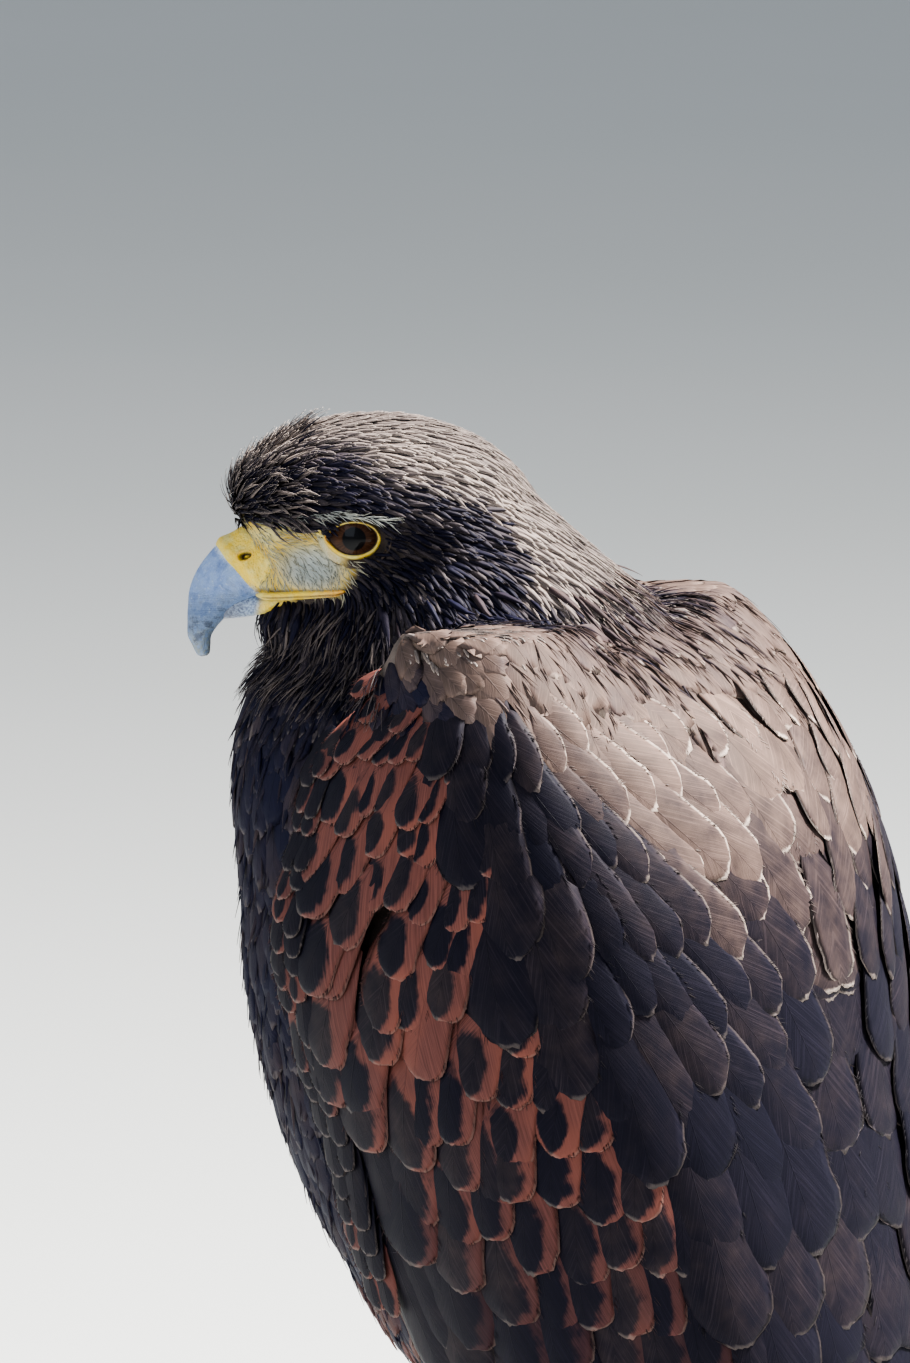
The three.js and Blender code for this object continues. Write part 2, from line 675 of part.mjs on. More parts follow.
function branch(grow = 0) {
  const sides = 16;
  const ends = PERCH_HALF_LENGTH + grow;
  const rings = steps(-ends, ends, 8).map((x) => {
    const swell = Math.max(0, Math.abs(x) - 66) / 26; // the bark thickens a little past the feet
    return steps(0, 2 * Math.PI, sides)
      .slice(0, sides)
      .map((angle) => {
        const radius = PERCH_RADIUS + grow + 1.6 * swell * (1 + 0.5 * Math.sin(2 * angle + x * 0.05));
        return [x, perchAxis[0] + Math.cos(angle) * radius, perchAxis[1] + Math.sin(angle) * radius];
      });
  });
  return loft(rings);
}

function rod(side) {
  const top = perchAxis[1] - 2;
  const geometry = new THREE.CylinderGeometry(ROD_RADIUS, ROD_RADIUS, top - BASE_THICK - GAP, 16);
  geometry.rotateX(Math.PI / 2).translate(side * ROD_X, PERCH_Y, (top + BASE_THICK + GAP) / 2);
  return solidOf(geometry).subtract(branch(GAP));
}

// A thin level or tilted cut that parts two nodes, as a wide flat box
function slab(middle, pitch, turn) {
  const geometry = new THREE.BoxGeometry(400, 400, GAP);
  geometry.rotateX(rad(pitch)).rotateZ(rad(turn)).translate(...middle);
  return solidOf(geometry);
}

const pieces = new Map();
const material = (colour, roughness) =>
  new THREE.MeshStandardMaterial({ color: new THREE.Color(...colour), roughness, metalness: 0 });
const MATERIALS = {
  brown: material([0.052, 0.036, 0.031], 0.75),
  blackish: material([0.028, 0.024, 0.027], 0.7),
  rufous: material([0.3, 0.1, 0.045], 0.75),
  yellow: material([0.72, 0.5, 0.08], 0.5),
  horn: material([0.33, 0.4, 0.52], 0.4),
  claw: material([0.02, 0.02, 0.022], 0.3),
  eye: material([0.05, 0.022, 0.01], 0.08),
  tail: material([0.022, 0.018, 0.018], 0.65),
  bark: material([0.16, 0.11, 0.075], 0.9),
  steel: material([0.5, 0.5, 0.5], 0.35),
  base: material([0.07, 0.04, 0.025], 0.4),
};

function keep(name, made, look) {
  pieces.set(name, { made, look });
}

const ball = (side, grow, sides) =>
  ellipsoid(headPoint(EYE_AT[0], side * EYE_AT[1], EYE_AT[2]), Array(3).fill(EYE_RADIUS + grow), HEAD_TURN, sides);
const upperBill = billLoft(BILL, 0, 13, 0.35);
const upperBillRoom = billLoft(BILL, GAP, 13, 0.35);
const lowerBill = billLoft(LOWER_BILL, 0, 5, -0.1);
const lowerBillRoom = billLoft(LOWER_BILL, GAP, 5, -0.1);

// Head, neck and torso are one body, parted by thin tilted cuts
const trunk = joined([head(), neck(), torso(), ...brows(), ...lids(), ...gapes()]).subtract(
  joined([ball(-1, 2 * GAP, 12), ball(1, 2 * GAP, 12), upperBillRoom, lowerBillRoom, ...mouths()]),
);
const headCut = slab(headPoint(24, 0, 430), 31, HEAD_TURN);
const neckCut = slab([0, -38, 400], 10, 0);
const parted = trunk.subtract(headCut).subtract(neckCut).decompose();
const byHeight = parted.sort((a, b) => b.volume() - a.volume()).slice(0, 3);
byHeight.sort((a, b) => b.boundingBox().max[2] - a.boundingBox().max[2]);
const [headPart, neckPart, torsoPart] = byHeight;
keep("head", headPart, "brown");
keep("neck", neckPart, "brown");

const billCut = slab(headPoint(66.2, 0, 437.6), -50, HEAD_TURN);
const [cerePart, hornPart] = upperBill
  .subtract(joined([head(GAP), billCut]))
  .decompose()
  .sort((a, b) => b.volume() - a.volume())
  .slice(0, 2)
  .sort((a, b) => b.boundingBox().max[2] - a.boundingBox().max[2]);
const nostrils = [-1, 1].map((side) => ellipsoid(headPoint(64.4, side * 8.6, 441.6), [2, 1.9, 1.2], HEAD_TURN, 8));
keep("cere", largest(cerePart.subtract(joined(nostrils))), "yellow");
keep("beak_upper", hornPart, "horn");
keep("beak_lower", largest(lowerBill.subtract(joined([upperBillRoom, head(GAP)]))), "horn");
keep("eye_left", ball(1, 0, 14), "eye");
keep("eye_right", ball(-1, 0, 14), "eye");

const bodyRoom = joined([head(GAP), neck(GAP), torso(GAP)]);
const leftWing = wing();
const wingRoom = joined([bodyRoom, solidOf(new THREE.BoxGeometry(2 * GAP, 400, 1000))]);
keep("wing_left", largest(leftWing.subtract(wingRoom)), "blackish");
keep("wing_right", largest(mirrored(leftWing).subtract(wingRoom)), "blackish");
keep("tail", tail(torso(GAP)), "tail");

for (const [name, side] of [["left", 1], ["right", -1]]) {
  keep(`thigh_${name}`, largest(thigh(side).subtract(torso(GAP))), "rufous");
  const legRoom = joined([thigh(side, GAP), foot(side, GAP), torso(GAP)]);
  keep(`shank_${name}`, largest(shank(side).subtract(legRoom)), "yellow");
  keep(`foot_${name}`, largest(foot(side).subtract(branch(GAP))), "yellow");
  const clawRoom = joined([foot(side, GAP), branch(GAP)]);
  TOES.forEach((toe, i) => {
    keep(`claw_${name}_${i + 1}`, largest(claw(side, toe).subtract(clawRoom)), "claw");
  });
}

keep("torso", torsoPart, "brown");
keep("stand_perch", branch(), "bark");
keep("stand_rod_left", rod(1), "steel");
keep("stand_rod_right", rod(-1), "steel");
keep("stand_base", roundedBox([...BASE_HALF, BASE_THICK], 22, 2).translate([0, BASE_Y, 0]), "base");

const group = new THREE.Group();
for (const [name, { made, look }] of pieces) {
  const { numProp, vertProperties, triVerts } = made.getMesh();
  const points = new Float32Array((vertProperties.length / numProp) * 3);
  for (let i = 0; i < points.length / 3; i += 1) {
    points.set(vertProperties.subarray(i * numProp, i * numProp + 3), i * 3);
  }
  const geometry = new THREE.BufferGeometry();
  geometry.setAttribute("position", new THREE.BufferAttribute(points, 3));
  geometry.setIndex(new THREE.BufferAttribute(triVerts, 1));
  geometry.computeVertexNormals();
  const mesh = new THREE.Mesh(geometry, MATERIALS[look]);
  mesh.name = name;
  group.add(mesh);
}

// The origin is the middle of the bounding box's bottom
const box = new THREE.Box3().setFromObject(group);
const middle = box.getCenter(new THREE.Vector3());
group.position.set(-middle.x, -middle.y, -box.min.z);

export default group;
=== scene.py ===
# A life-size Harris's hawk on a plain display stand, dressed over the frame's solids. Shapes are worked
# out in millimetres in the part's own axes and turned into metres in the frame by metres().
import math
import bmesh
import bpy
import numpy as np
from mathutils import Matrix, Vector
from mathutils.bvhtree import BVHTree


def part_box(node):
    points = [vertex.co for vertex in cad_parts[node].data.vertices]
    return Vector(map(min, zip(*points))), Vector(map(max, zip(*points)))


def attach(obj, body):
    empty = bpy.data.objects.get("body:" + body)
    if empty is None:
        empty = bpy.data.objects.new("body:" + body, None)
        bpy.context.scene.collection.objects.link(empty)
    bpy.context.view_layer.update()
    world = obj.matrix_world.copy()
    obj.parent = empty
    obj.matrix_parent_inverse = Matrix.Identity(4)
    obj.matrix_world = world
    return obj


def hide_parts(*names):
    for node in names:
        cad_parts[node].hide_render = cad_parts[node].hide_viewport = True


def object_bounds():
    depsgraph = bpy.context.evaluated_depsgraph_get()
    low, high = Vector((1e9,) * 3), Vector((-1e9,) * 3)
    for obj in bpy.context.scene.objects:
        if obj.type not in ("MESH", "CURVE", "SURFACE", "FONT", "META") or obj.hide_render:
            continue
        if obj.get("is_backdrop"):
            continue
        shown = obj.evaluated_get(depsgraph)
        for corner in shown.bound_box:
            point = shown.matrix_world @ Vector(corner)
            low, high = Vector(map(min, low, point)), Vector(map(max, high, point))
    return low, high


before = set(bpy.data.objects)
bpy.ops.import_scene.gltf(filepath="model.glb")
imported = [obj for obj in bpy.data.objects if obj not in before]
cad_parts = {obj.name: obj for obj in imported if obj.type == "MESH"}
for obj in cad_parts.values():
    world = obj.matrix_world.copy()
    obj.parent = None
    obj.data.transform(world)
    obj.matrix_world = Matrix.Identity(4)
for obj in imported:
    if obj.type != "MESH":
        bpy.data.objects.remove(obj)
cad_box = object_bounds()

# ---- Sizes and tables that the solids were built from ----
HEAD_SIN, HEAD_COS, NECK_Y = math.sin(math.radians(30)), math.cos(math.radians(30)), -35
PERCH_TOP, PERCH_RADIUS, PERCH_Y, PERCH_HALF_LENGTH = 160, 20, -2, 92
PERCH_AXIS = PERCH_TOP - PERCH_RADIUS
BASE_THICK, BASE_Y, ROD_X, TARSUS_X = 14, 14, 60, 30
EYE_RADIUS, EYE_AT = 9, (35.8, 15.2, 448.2)
TORSO = [
    [431, -38, 12, 18, 22], [425, -38, 27, 42, 46], [415, -38, 41, 59, 63], [400, -36, 51, 69, 73],
    [380, -30, 57, 77, 81], [355, -24, 60, 80, 84], [325, -18, 61, 84, 86], [295, -10, 60, 84, 83],
    [270, 0, 57, 83, 76], [249, 10, 52, 80, 67], [232, 18, 46, 76, 58], [217, 25, 37, 63, 47],
    [205, 32, 24, 42, 33], [198, 36, 11, 20, 18]]
NECK = [
    [461, 30, 8, 8, 6], [455, 30, 18, 21, 14], [444, 28, 27, 38, 26], [432, 22, 34, 51, 40],
    [420, 13, 40, 58, 51], [408, 5, 42, 60, 56], [394, 0, 34, 50, 50]]
HEAD = [
    [-11.5, 457, 447, 4], [-7, 463.5, 438, 15], [2, 471.5, 430, 22.5], [12, 476, 424, 26],
    [23, 478.7, 421, 27], [33, 479, 420, 26.2], [42, 478.2, 422, 23.8], [50, 475.8, 427, 20.2],
    [57, 472, 434, 16.4], [62, 468.6, 442, 13], [66, 464.4, 449, 9], [68.6, 460, 454, 3.5]]
BILL = [
    [50, 441.6, 0, 9.6, 9.6], [56, 441.2, 3, 9.8, 9.2], [61, 440, 9, 9.8, 8.4], [67, 436.6, 26, 8.8, 7],
    [72, 431, 50, 7.4, 5.6], [74.9, 425.2, 74, 4.9, 4.2], [76.2, 420.6, 86, 3.2, 3.1],
    [75.9, 417.2, 94, 2.4, 2.3], [75.4, 415.2, 98, 1.7, 1.6], [75.2, 414.3, 98, 0.7, 0.7]]
LOWER_BILL = [
    [44, 429.6, -4, 3, 8], [52, 429.3, -2, 3, 7], [60, 428.6, 6, 2.9, 5.6], [66, 427.8, 12, 2.9, 4.3],
    [70.4, 426.9, 18, 2.4, 3.2], [72.4, 426.2, 22, 1.6, 2.2], [73.2, 425.9, 26, 0.6, 0.8]]
WING = [
    [441, 45, -19, 48, -13, 43, -9], [434, 49, -34, 60, -3, 27, -2], [420, 52, -44, 69, 7, 10, 18],
    [400, 56, -53, 77, 15, 6, 40], [375, 58, -58, 82, 23, 6, 56], [345, 61, -62, 84, 30, 6, 65],
    [315, 61, -55, 84, 37, 6, 71], [290, 59, -47, 82, 43, 6, 76], [262, 56, -40, 77, 49, 6, 81],
    [205, 50, -14, 65, 63, 7, 93], [150, 44, 30, 53, 78, 12, 101], [96, 37, 75, 41, 91, 22, 102]]
THIGH = [
    [276, 25, -20, 19, 26], [254, 27, -16, 20.5, 27], [234, 28.5, -7, 18.5, 23], [216, 29.5, 2, 14, 16.5],
    [203, 30, 7, 9, 10.5], [198, 30, 8, 6.5, 7]]
TAIL_ROOT, TAIL_SLOPE, TAIL_LENGTH, TAIL_HALF = (62, 244), math.radians(80), 222, (9, 28)
TOES = [(34, 0.5, 4.6, 17), (44, 0.06, 4.8, 17), (33, -0.46, 4.3, 15), (-27, 0.12, 5, -19)]

low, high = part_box("stand_base")
SHIFT = np.array([0, (low[1] + high[1]) * 500 - BASE_Y, 0])


def metres(points):
    return (np.asarray(points, float) + SHIFT) * 0.001


# ---- Camera, at the photograph's angle ----
def bearing(azimuth, elevation):
    """The way from the bird to a camera or a lamp, by its degrees round the bird and above it."""
    a, e = math.radians(azimuth), math.radians(elevation)
    return np.array([math.sin(a) * math.cos(e), -math.cos(a) * math.cos(e), math.sin(e)])


def add(name, data, location=None, way=None):
    """A new object in the scene, where way is given at a place in metres and looking against it."""
    piece = bpy.data.objects.new(name, data)
    bpy.context.scene.collection.objects.link(piece)
    if way is not None:
        piece.location = location
        piece.rotation_mode = "QUATERNION"
        piece.rotation_quaternion = Vector(-way).to_track_quat("-Z", "Y")
    return piece


DISTANCE, FIELD, TARGET = 3000, 354.4, np.array([20, -34.6, 410])
way = bearing(120, 8)
camera = add("camera", bpy.data.cameras.new("camera"), metres(TARGET + way * DISTANCE), way)
camera.data.sensor_width = 36
camera.data.lens = 36 * DISTANCE / FIELD
camera.data.clip_start, camera.data.clip_end = 0.1, 200
bpy.context.scene.camera = camera


# ---- Small number tools ----
def along(table, keys):
    """The columns of a table on a smooth curve through its rows, at each key of its first column."""
    rows = np.asarray(table, float)
    if rows[0, 0] > rows[-1, 0]:
        rows = rows[::-1]
    keys = np.atleast_1d(np.asarray(keys, float))
    last = len(rows) - 1
    i = np.clip(np.searchsorted(rows[:, 0], keys, side="left") - 1, 0, last - 1)
    before, start, end, after = rows[np.maximum(i - 1, 0)], rows[i], rows[i + 1], rows[np.minimum(i + 2, last)]
    span = end[:, :1] - start[:, :1]
    s = (keys[:, None] - start[:, :1]) / span
    m0 = (end - before) / (end[:, :1] - before[:, :1]) * span
    m1 = (after - start) / (after[:, :1] - start[:, :1]) * span
    s2, s3 = s * s, s * s * s
    curve = (2 * s3 - 3 * s2 + 1) * start + (s3 - 2 * s2 + s) * m0 + (3 * s2 - 2 * s3) * end + (s3 - s2) * m1
    return curve[:, 1:]


def numbered(table, count):
    """The columns of a table at count even steps through its rows, and the steps."""
    keys = np.linspace(0, len(table) - 1, count)
    return along(np.column_stack([np.arange(len(table)), table]), keys).T, keys


def mix(a, b, share):
    return a + (b - a) * share


def ease(low, high, value):
    """0 at low and 1 at high, smooth between; low may be the greater."""
    t = np.clip((value - low) / (high - low), 0, 1)
    return t * t * (3 - 2 * t)


def bell(value, middle, width):
    return np.exp(-(((value - middle) / width) ** 2))


def unit(v):
    return v / np.maximum(np.linalg.norm(v, axis=-1, keepdims=True), 1e-9)


def stack(*parts):
    """Numbers and arrays of any fitting shapes, side by side on a new last axis."""
    return np.stack(np.broadcast_arrays(*parts), -1)


def circle(sides):
    return np.linspace(0, 2 * np.pi, sides, endpoint=False)


def wobble(p, size, seed):
    """A smooth number between about -1 and 1 that changes over distances of size."""
    draw = np.random.default_rng(seed)
    total = 0
    for _ in range(5):
        way = draw.normal(size=3) / size * 2.2
        total = total + np.sin(p @ way + draw.uniform(0, 6.3))
    return total / 2.6


def head_place(f, s, z):
    """Points from millimetres forward, to the bird's left and up, in the turned head's own axes."""
    return stack(f * HEAD_SIN + s * HEAD_COS, NECK_Y - f * HEAD_COS + s * HEAD_SIN, z)


def head_parts(p):
    """The reverse of head_place."""
    x, y = p[..., 0], p[..., 1] - NECK_Y
    return x * HEAD_SIN - y * HEAD_COS, x * HEAD_COS + y * HEAD_SIN, p[..., 2]


# ---- Meshes ----
def make(name, points, faces, look, slot, replaced=(), maps=None, mark=None):
    """A piece of triangles from arrays in millimetres. maps are per-point (u, v) pairs, mark is per-point RGBA."""
    mesh = bpy.data.meshes.new(name)
    mesh.vertices.add(len(points))
    mesh.vertices.foreach_set("co", metres(points).astype(np.float32).ravel())
    mesh.loops.add(faces.size)
    mesh.loops.foreach_set("vertex_index", faces.ravel().astype(np.int32))
    mesh.polygons.add(len(faces))
    mesh.polygons.foreach_set("loop_start", np.arange(0, faces.size, 3, dtype=np.int32))
    mesh.polygons.foreach_set("use_smooth", np.ones(len(faces), bool))
    mesh.update(calc_edges=True)
    for key, uv in (maps or {}).items():
        corners = uv.astype(np.float32).reshape(-1, 2)[faces.ravel()]
        mesh.uv_layers.new(name=key).data.foreach_set("uv", corners.ravel())
    if mark is not None:
        layer = mesh.attributes.new("mark", "FLOAT_COLOR", "POINT")
        layer.data.foreach_set("color", mark.astype(np.float32).ravel())
    mesh.materials.append(look)
    piece = add(name, mesh)
    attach(piece, "root")
    if replaced:
        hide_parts(*replaced)
    return piece


def tube_faces(rings, sides, loop=False):
    """Triangles over rings of points, capped at both ends, or in a loop from the last ring to the first."""
    r, i = np.meshgrid(np.arange(rings if loop else rings - 1), np.arange(sides), indexing="ij")
    n, nr = (i + 1) % sides, (r + 1) % rings
    a, b, c, d = r * sides + i, r * sides + n, nr * sides + n, nr * sides + i
    faces = [stack(a, b, c).reshape(-1, 3), stack(a, c, d).reshape(-1, 3)]
    if not loop:
        k = np.arange(1, sides - 1)
        faces += [stack(0, k + 1, k), stack(0, k, k + 1) + (rings - 1) * sides]
    return np.concatenate(faces)


def outward(points, faces):
    """The same triangles, turned so that the closed body has a positive volume."""
    a, b, c = (points[faces[:, k]] for k in range(3))
    return faces if np.einsum("ij,ij->i", a, np.cross(b, c)).sum() > 0 else faces[:, ::-1]


def closed(rings, loop=False):
    """A closed body as points and faces, from rings of points given as (ring, side, 3)."""
    points = rings.reshape(-1, 3)
    return points, outward(points, tube_faces(*rings.shape[:2], loop))


def gather(parts):
    """Several bodies, each points, faces and perhaps marks, as one."""
    points, faces, *marks = zip(*parts)
    starts = np.cumsum([0] + [len(p) for p in points])
    faces = [f + start for f, start in zip(faces, starts)]
    return (np.concatenate(points), np.concatenate(faces), *map(np.concatenate, marks))


def sweep(path, radii, sides, flat=1.0, up=(0, 0, 1), shape=1):
    """A round closed body along a path, with a radius for each of its points."""
    way = unit(np.gradient(path, axis=0))
    side = unit(np.cross(way, up))
    above = np.cross(side, way)
    reach = np.asarray(radii, float)[:, None] * shape
    left, high = reach * np.cos(circle(sides)), reach * flat * np.sin(circle(sides))
    return closed(path[:, None] + side[:, None] * left[..., None] + above[:, None] * high[..., None])


def level_rings(table, keys, grow, sides, section):
    """Level sections like those of the solids: a superellipse with its own reach forward and back.

    section turns a row of the table into x, y, turn in degrees, half width, and reach forward and back.
    """
    angle, rings = circle(sides), []
    power = lambda v: np.sign(v) * np.abs(v) ** 0.92
    for z, row in zip(keys, along(table, keys)):
        x, y, turn, half, front, rear = section(*row)
        s, c = math.sin(math.radians(turn)), math.cos(math.radians(turn))
        across = power(np.sin(angle)) * (half + grow)
        forward = power(np.cos(angle)) * (np.where(np.cos(angle) > 0, front, rear) + grow)
        rings.append(stack(x + forward * s + across * c, y - forward * c + across * s, z))
    return closed(np.stack(rings))


def ellipsoid(middle, radii, turned=False, sides=24):
    a, b = circle(sides), np.linspace(-np.pi / 2 + 0.06, np.pi / 2 - 0.06, sides // 2)[:, None]
    x, y, z = np.cos(b) * np.cos(a) * radii[0], np.cos(b) * np.sin(a) * radii[1], np.sin(b) * radii[2]
    if turned:
        x, y = x * HEAD_COS - y * HEAD_SIN, x * HEAD_SIN + y * HEAD_COS
    return closed(stack(x, y, z) + middle)


# ---- The wing's and the tail's sheets, as in the solids ----
def wing_flat(z, across):
    row = along(WING, z.ravel()).reshape(*z.shape, 6)
    lead, ridge, inner = row[..., 0:2], row[..., 2:4], row[..., 4:6]
    a = across[..., None]
    xy = (1 - a) ** 2 * lead + 2 * a * (1 - a) * (2 * ridge - (lead + inner) / 2) + a * a * inner
    return np.concatenate([xy, z[..., None]], -1)


def wing_point(z, across, lift):
    """Points of the left wing by height, share of the way across and millimetres over the sheet."""
    z, across, lift = (np.array(v, float) for v in np.broadcast_arrays(z, across, lift))
    over_width = wing_flat(z, across + 0.01) - wing_flat(z, across - 0.01)
    over_height = wing_flat(z + 1, across) - wing_flat(z - 1, across)
    return wing_flat(z, across) + unit(np.cross(over_width, over_height)) * lift[..., None]


WIDTH_KEYS = np.linspace(96, 441, 70)
level_lines = wing_flat(*np.meshgrid(WIDTH_KEYS, np.linspace(0, 1, 17), indexing="ij"))
WIDTHS = np.linalg.norm(np.diff(level_lines, axis=1), axis=-1).sum(1)


def wing_width(z):
    return np.interp(z, WIDTH_KEYS, WIDTHS)


def tail_point(down, across, lift):
    sin, cos = math.sin(TAIL_SLOPE), math.cos(TAIL_SLOPE)
    fallen = lift - 0.0008 * across * across
    return stack(across, TAIL_ROOT[0] + cos * down + sin * fallen, TAIL_ROOT[1] - sin * down + cos * fallen)


# ---- Feathers as thin closed vanes ----
def lens(columns):
    """Places across a vane, from -1 to 1, and whether on its outer face (1), edge (0) or inner face (-1)."""
    top = np.linspace(-1, 1, columns)
    return np.concatenate([top, top[-2:0:-1]]), np.repeat([0, 1, 0, -1], [1, columns - 2, 1, columns - 2])


def both_faces(outer):
    """Values on a vane's outer face, given for its inner face too."""
    return np.concatenate([outer, outer[:, :, -2:0:-1]], -1)


def vane_piece(name, point, vane, size, bake, marks, look, slot, nodes=()):
    """A piece of closed vanes, whose points are given as (vane, row, ring, 3).

    The vane map holds shares across and along, the size map the same in millimetres, and bake() makes
    the unwrap of the coat from the vane map.
    """
    count, rows, ring, _ = point.shape
    full = lambda pair: np.stack([np.broadcast_to(v, (count, rows, ring)) for v in pair], -1)
    faces = (tube_faces(rows, ring) + (np.arange(count) * rows * ring)[:, None, None]).reshape(-1, 3)
    maps = {"OFBake": bake(full(vane)), "vane": full(vane), "size": full(size)}
    points = point.reshape(-1, 3)
    mark = np.broadcast_to(marks, (count, rows, ring, 4))
    make(name, points, outward(points, faces), look, slot, nodes, maps, mark)


def round_tip(rows, start, root, blunt, power=2.0):
    """A vane's half width at each row, narrow at its root, full, and rounded at its tip."""
    swell = mix(root, 1, np.sin(np.clip(rows / 0.5, 0, 1) * np.pi / 2))
    end = np.clip((rows - start) / (1 - start), 0, 1)
    return swell * np.maximum(np.sqrt(1 - end**power), blunt)


def point_tip(rows):
    end = np.clip((rows - 0.3) / (1 - 0.3), 0, 1)
    return mix(0.55, 1, np.clip(rows / 0.25, 0, 1)) * np.maximum(1 - end**1.5, 0.06)


# ---- Materials ----
def node_maths(name):
    """The two methods of Wire that stand for a Math node, with the wire first and second."""
    return lambda a, b: a.look.math(name, a, b), lambda a, b: a.look.math(name, b, a)


class Wire:
    """A node's output. Sums on it are Math nodes."""

    __add__, __radd__ = node_maths("ADD")
    __sub__, __rsub__ = node_maths("SUBTRACT")
    __mul__, __rmul__ = node_maths("MULTIPLY")
    __truediv__, __rtruediv__ = node_maths("DIVIDE")

    def __init__(self, look, output):
        self.look, self.output = look, output

    def __abs__(self):
        return self.look.math("ABSOLUTE", self)

    def step(self, low, high):
        """0 below low and 1 above high, smooth between; low may be above high."""
        ends = (high, low, 1.0, 0.0) if low > high else (low, high, 0.0, 1.0)
        return self.look.node("MapRange", self, *ends, interpolation_type="SMOOTHSTEP")[0]


class Look:
    """A node-based material, with short calls for the nodes that are used."""

    def __init__(self, name, **values):
        self.material = bpy.data.materials.new(name)
        self.material.use_nodes = True
        self.tree = self.material.node_tree
        self.shader = self.tree.nodes["Principled BSDF"]
        for key, value in values.items():
            self.shader.inputs[key.replace("_", " ")].default_value = value

    def put(self, socket, value):
        if isinstance(value, Wire):
            self.tree.links.new(value.output, socket)
        else:
            socket.default_value = value

    def node(self, kind, *values, **options):
        """The outputs of a new node. values go to its first inputs, options to its settings or named inputs."""
        made = self.tree.nodes.new("ShaderNode" + kind)
        for key, value in options.items():
            if key in made.bl_rna.properties:
                setattr(made, key, value)
            else:
                self.put(made.inputs[key], value)
        for socket, value in zip(made.inputs, values):
            self.put(socket, value)
        return [Wire(self, output) for output in made.outputs]

    def math(self, operation, *values):
        return self.node("Math", *values, operation=operation)[0]

    def most(self, a, b):
        return self.math("MAXIMUM", a, b)

    def least(self, a, b):
        return self.math("MINIMUM", a, b)

    def length(self, a, b):
        return self.math("SQRT", a * a + b * b)

    def blend(self, a, b, share, *more):
        """Colour a with b over it by a share, and then perhaps more pairs of a colour and a share over both."""
        made = self.tree.nodes.new("ShaderNodeMix")
        made.data_type = "RGBA"
        for k, value in ((0, share), (6, a), (7, b)):
            self.put(made.inputs[k], (*value, 1) if isinstance(value, tuple) else value)
        colour = Wire(self, made.outputs[2])
        return self.blend(colour, *more) if more else colour

    def place(self):
        return self.node("TexCoord")[3]

    def noise(self, scale, detail=3, rough=0.55, at=None):
        return self.node("TexNoise", Vector=at or self.place(), Scale=scale, Detail=detail, Roughness=rough)[0]

    def parts(self, vector=None):
        return self.node("SeparateXYZ", vector or self.place())

    def xyz(self, *values):
        return self.node("CombineXYZ", *values)[0]

    def map(self, name):
        """The two numbers of a UV map."""
        return self.parts(self.node("UVMap", uv_map=name)[0])[:2]

    def marks(self):
        """The four numbers of the mark at each point."""
        mark = self.node("Attribute", attribute_name="mark")
        return *self.node("SeparateColor", mark[0]), mark[3]

    def done(self, colour, height=None, distance=0, rough=None):
        """The finished material. distance is how deep its height looks, in metres."""
        self.put(self.shader.inputs["Base Color"], colour)
        if height is not None:
            self.put(self.shader.inputs["Normal"], self.node("Bump", Height=height, Distance=distance)[0])
        if rough is not None:
            self.put(self.shader.inputs["Roughness"], rough)
        return self.material


def times(colour, share):
    return tuple(c * share for c in colour)


RUFOUS = (0.162, 0.062, 0.052)


def feather_look(name, dark, brown, pale, barb=3.0, bump=0.00009, whole=False):
    """Vanes with barbs, a shaft, a frayed pale fringe, and where marked a dark oval on rufous."""
    look = Look(name, Specular_IOR_Level=0.08)
    red, fringe, tone, spot = look.marks()
    (u, v), (across, length) = look.map("vane"), look.map("size")
    out, edge = abs(across), abs(u)
    barbs = look.xyz((length - out * 1.9) * (barb * 0.6), out * 0.10, tone * 40.0)
    streak, wide, patch = look.noise(1.0, 4, 0.65, barbs), look.noise(160.0), look.noise(48.0, 2)
    frayed = streak * 0.5 - 0.25
    # The fringe is about a millimetre wide, and less on a small feather
    half_width, whole_length = out / look.most(edge, 0.02), length / look.most(v, 0.02)
    narrow = look.least(0.8 / look.most(half_width, 0.1), 0.16)
    short = look.least(1.1 / look.most(whole_length, 0.1), 0.06)
    side_rim = ((1.0 - edge) / narrow + frayed * 2.4).step(1.2, 0.3) * v.step(0.45, 0.85)
    rim = look.most(side_rim, ((1.0 - v) / short + frayed * 2.4).step(1.2, 0.3))
    # The oval's size goes with the spot mark, and its edge follows the barbs
    reach = look.length((u + spot * 0.30) / (spot * 0.72 + 0.18), (v - 0.80) / (spot * 0.23 + 0.09))
    reach = reach + (frayed * 0.7 + (wide - 0.5) * 0.9)
    oval = reach.step(1.15, 0.88) * spot.step(0.12, 0.25)
    clouds = (wide - 0.5) * (tone + 0.25)
    centre = edge.step(0.75, 0.1) * (v.step(0.98, 0.75) * tone)
    light = look.blend(tuple(c * 2.2 + 0.002 for c in dark), tuple(min(1, c * 2.3) for c in brown), tone)
    shade = times(brown, 0.3)
    reddish = look.blend(times(RUFOUS, 0.48), RUFOUS, streak.step(0.3, 0.75),
                         (RUFOUS[0] * 1.05, RUFOUS[1] * 0.95, RUFOUS[2] * 0.85), patch.step(0.42, 0.66) * 0.8)
    shaft = (out / (1.15 - v)).step(0.42, 0.16)
    colour = look.blend(
        dark, brown, (tone + clouds).step(0.0, 1.0),
        shade, centre * 0.6,
        light, streak.step(0.48, 0.72) * 0.5,
        shade, streak.step(0.42, 0.28) * (tone * 0.6),
        reddish, red * (1.0 - oval),
        pale, (fringe + frayed).step(0.35, 0.65) if whole else rim * fringe,
        times(dark, 0.5), shaft * 0.25)
    return look.done(colour, streak + shaft * 0.7, bump, streak * 0.3 + 0.45)


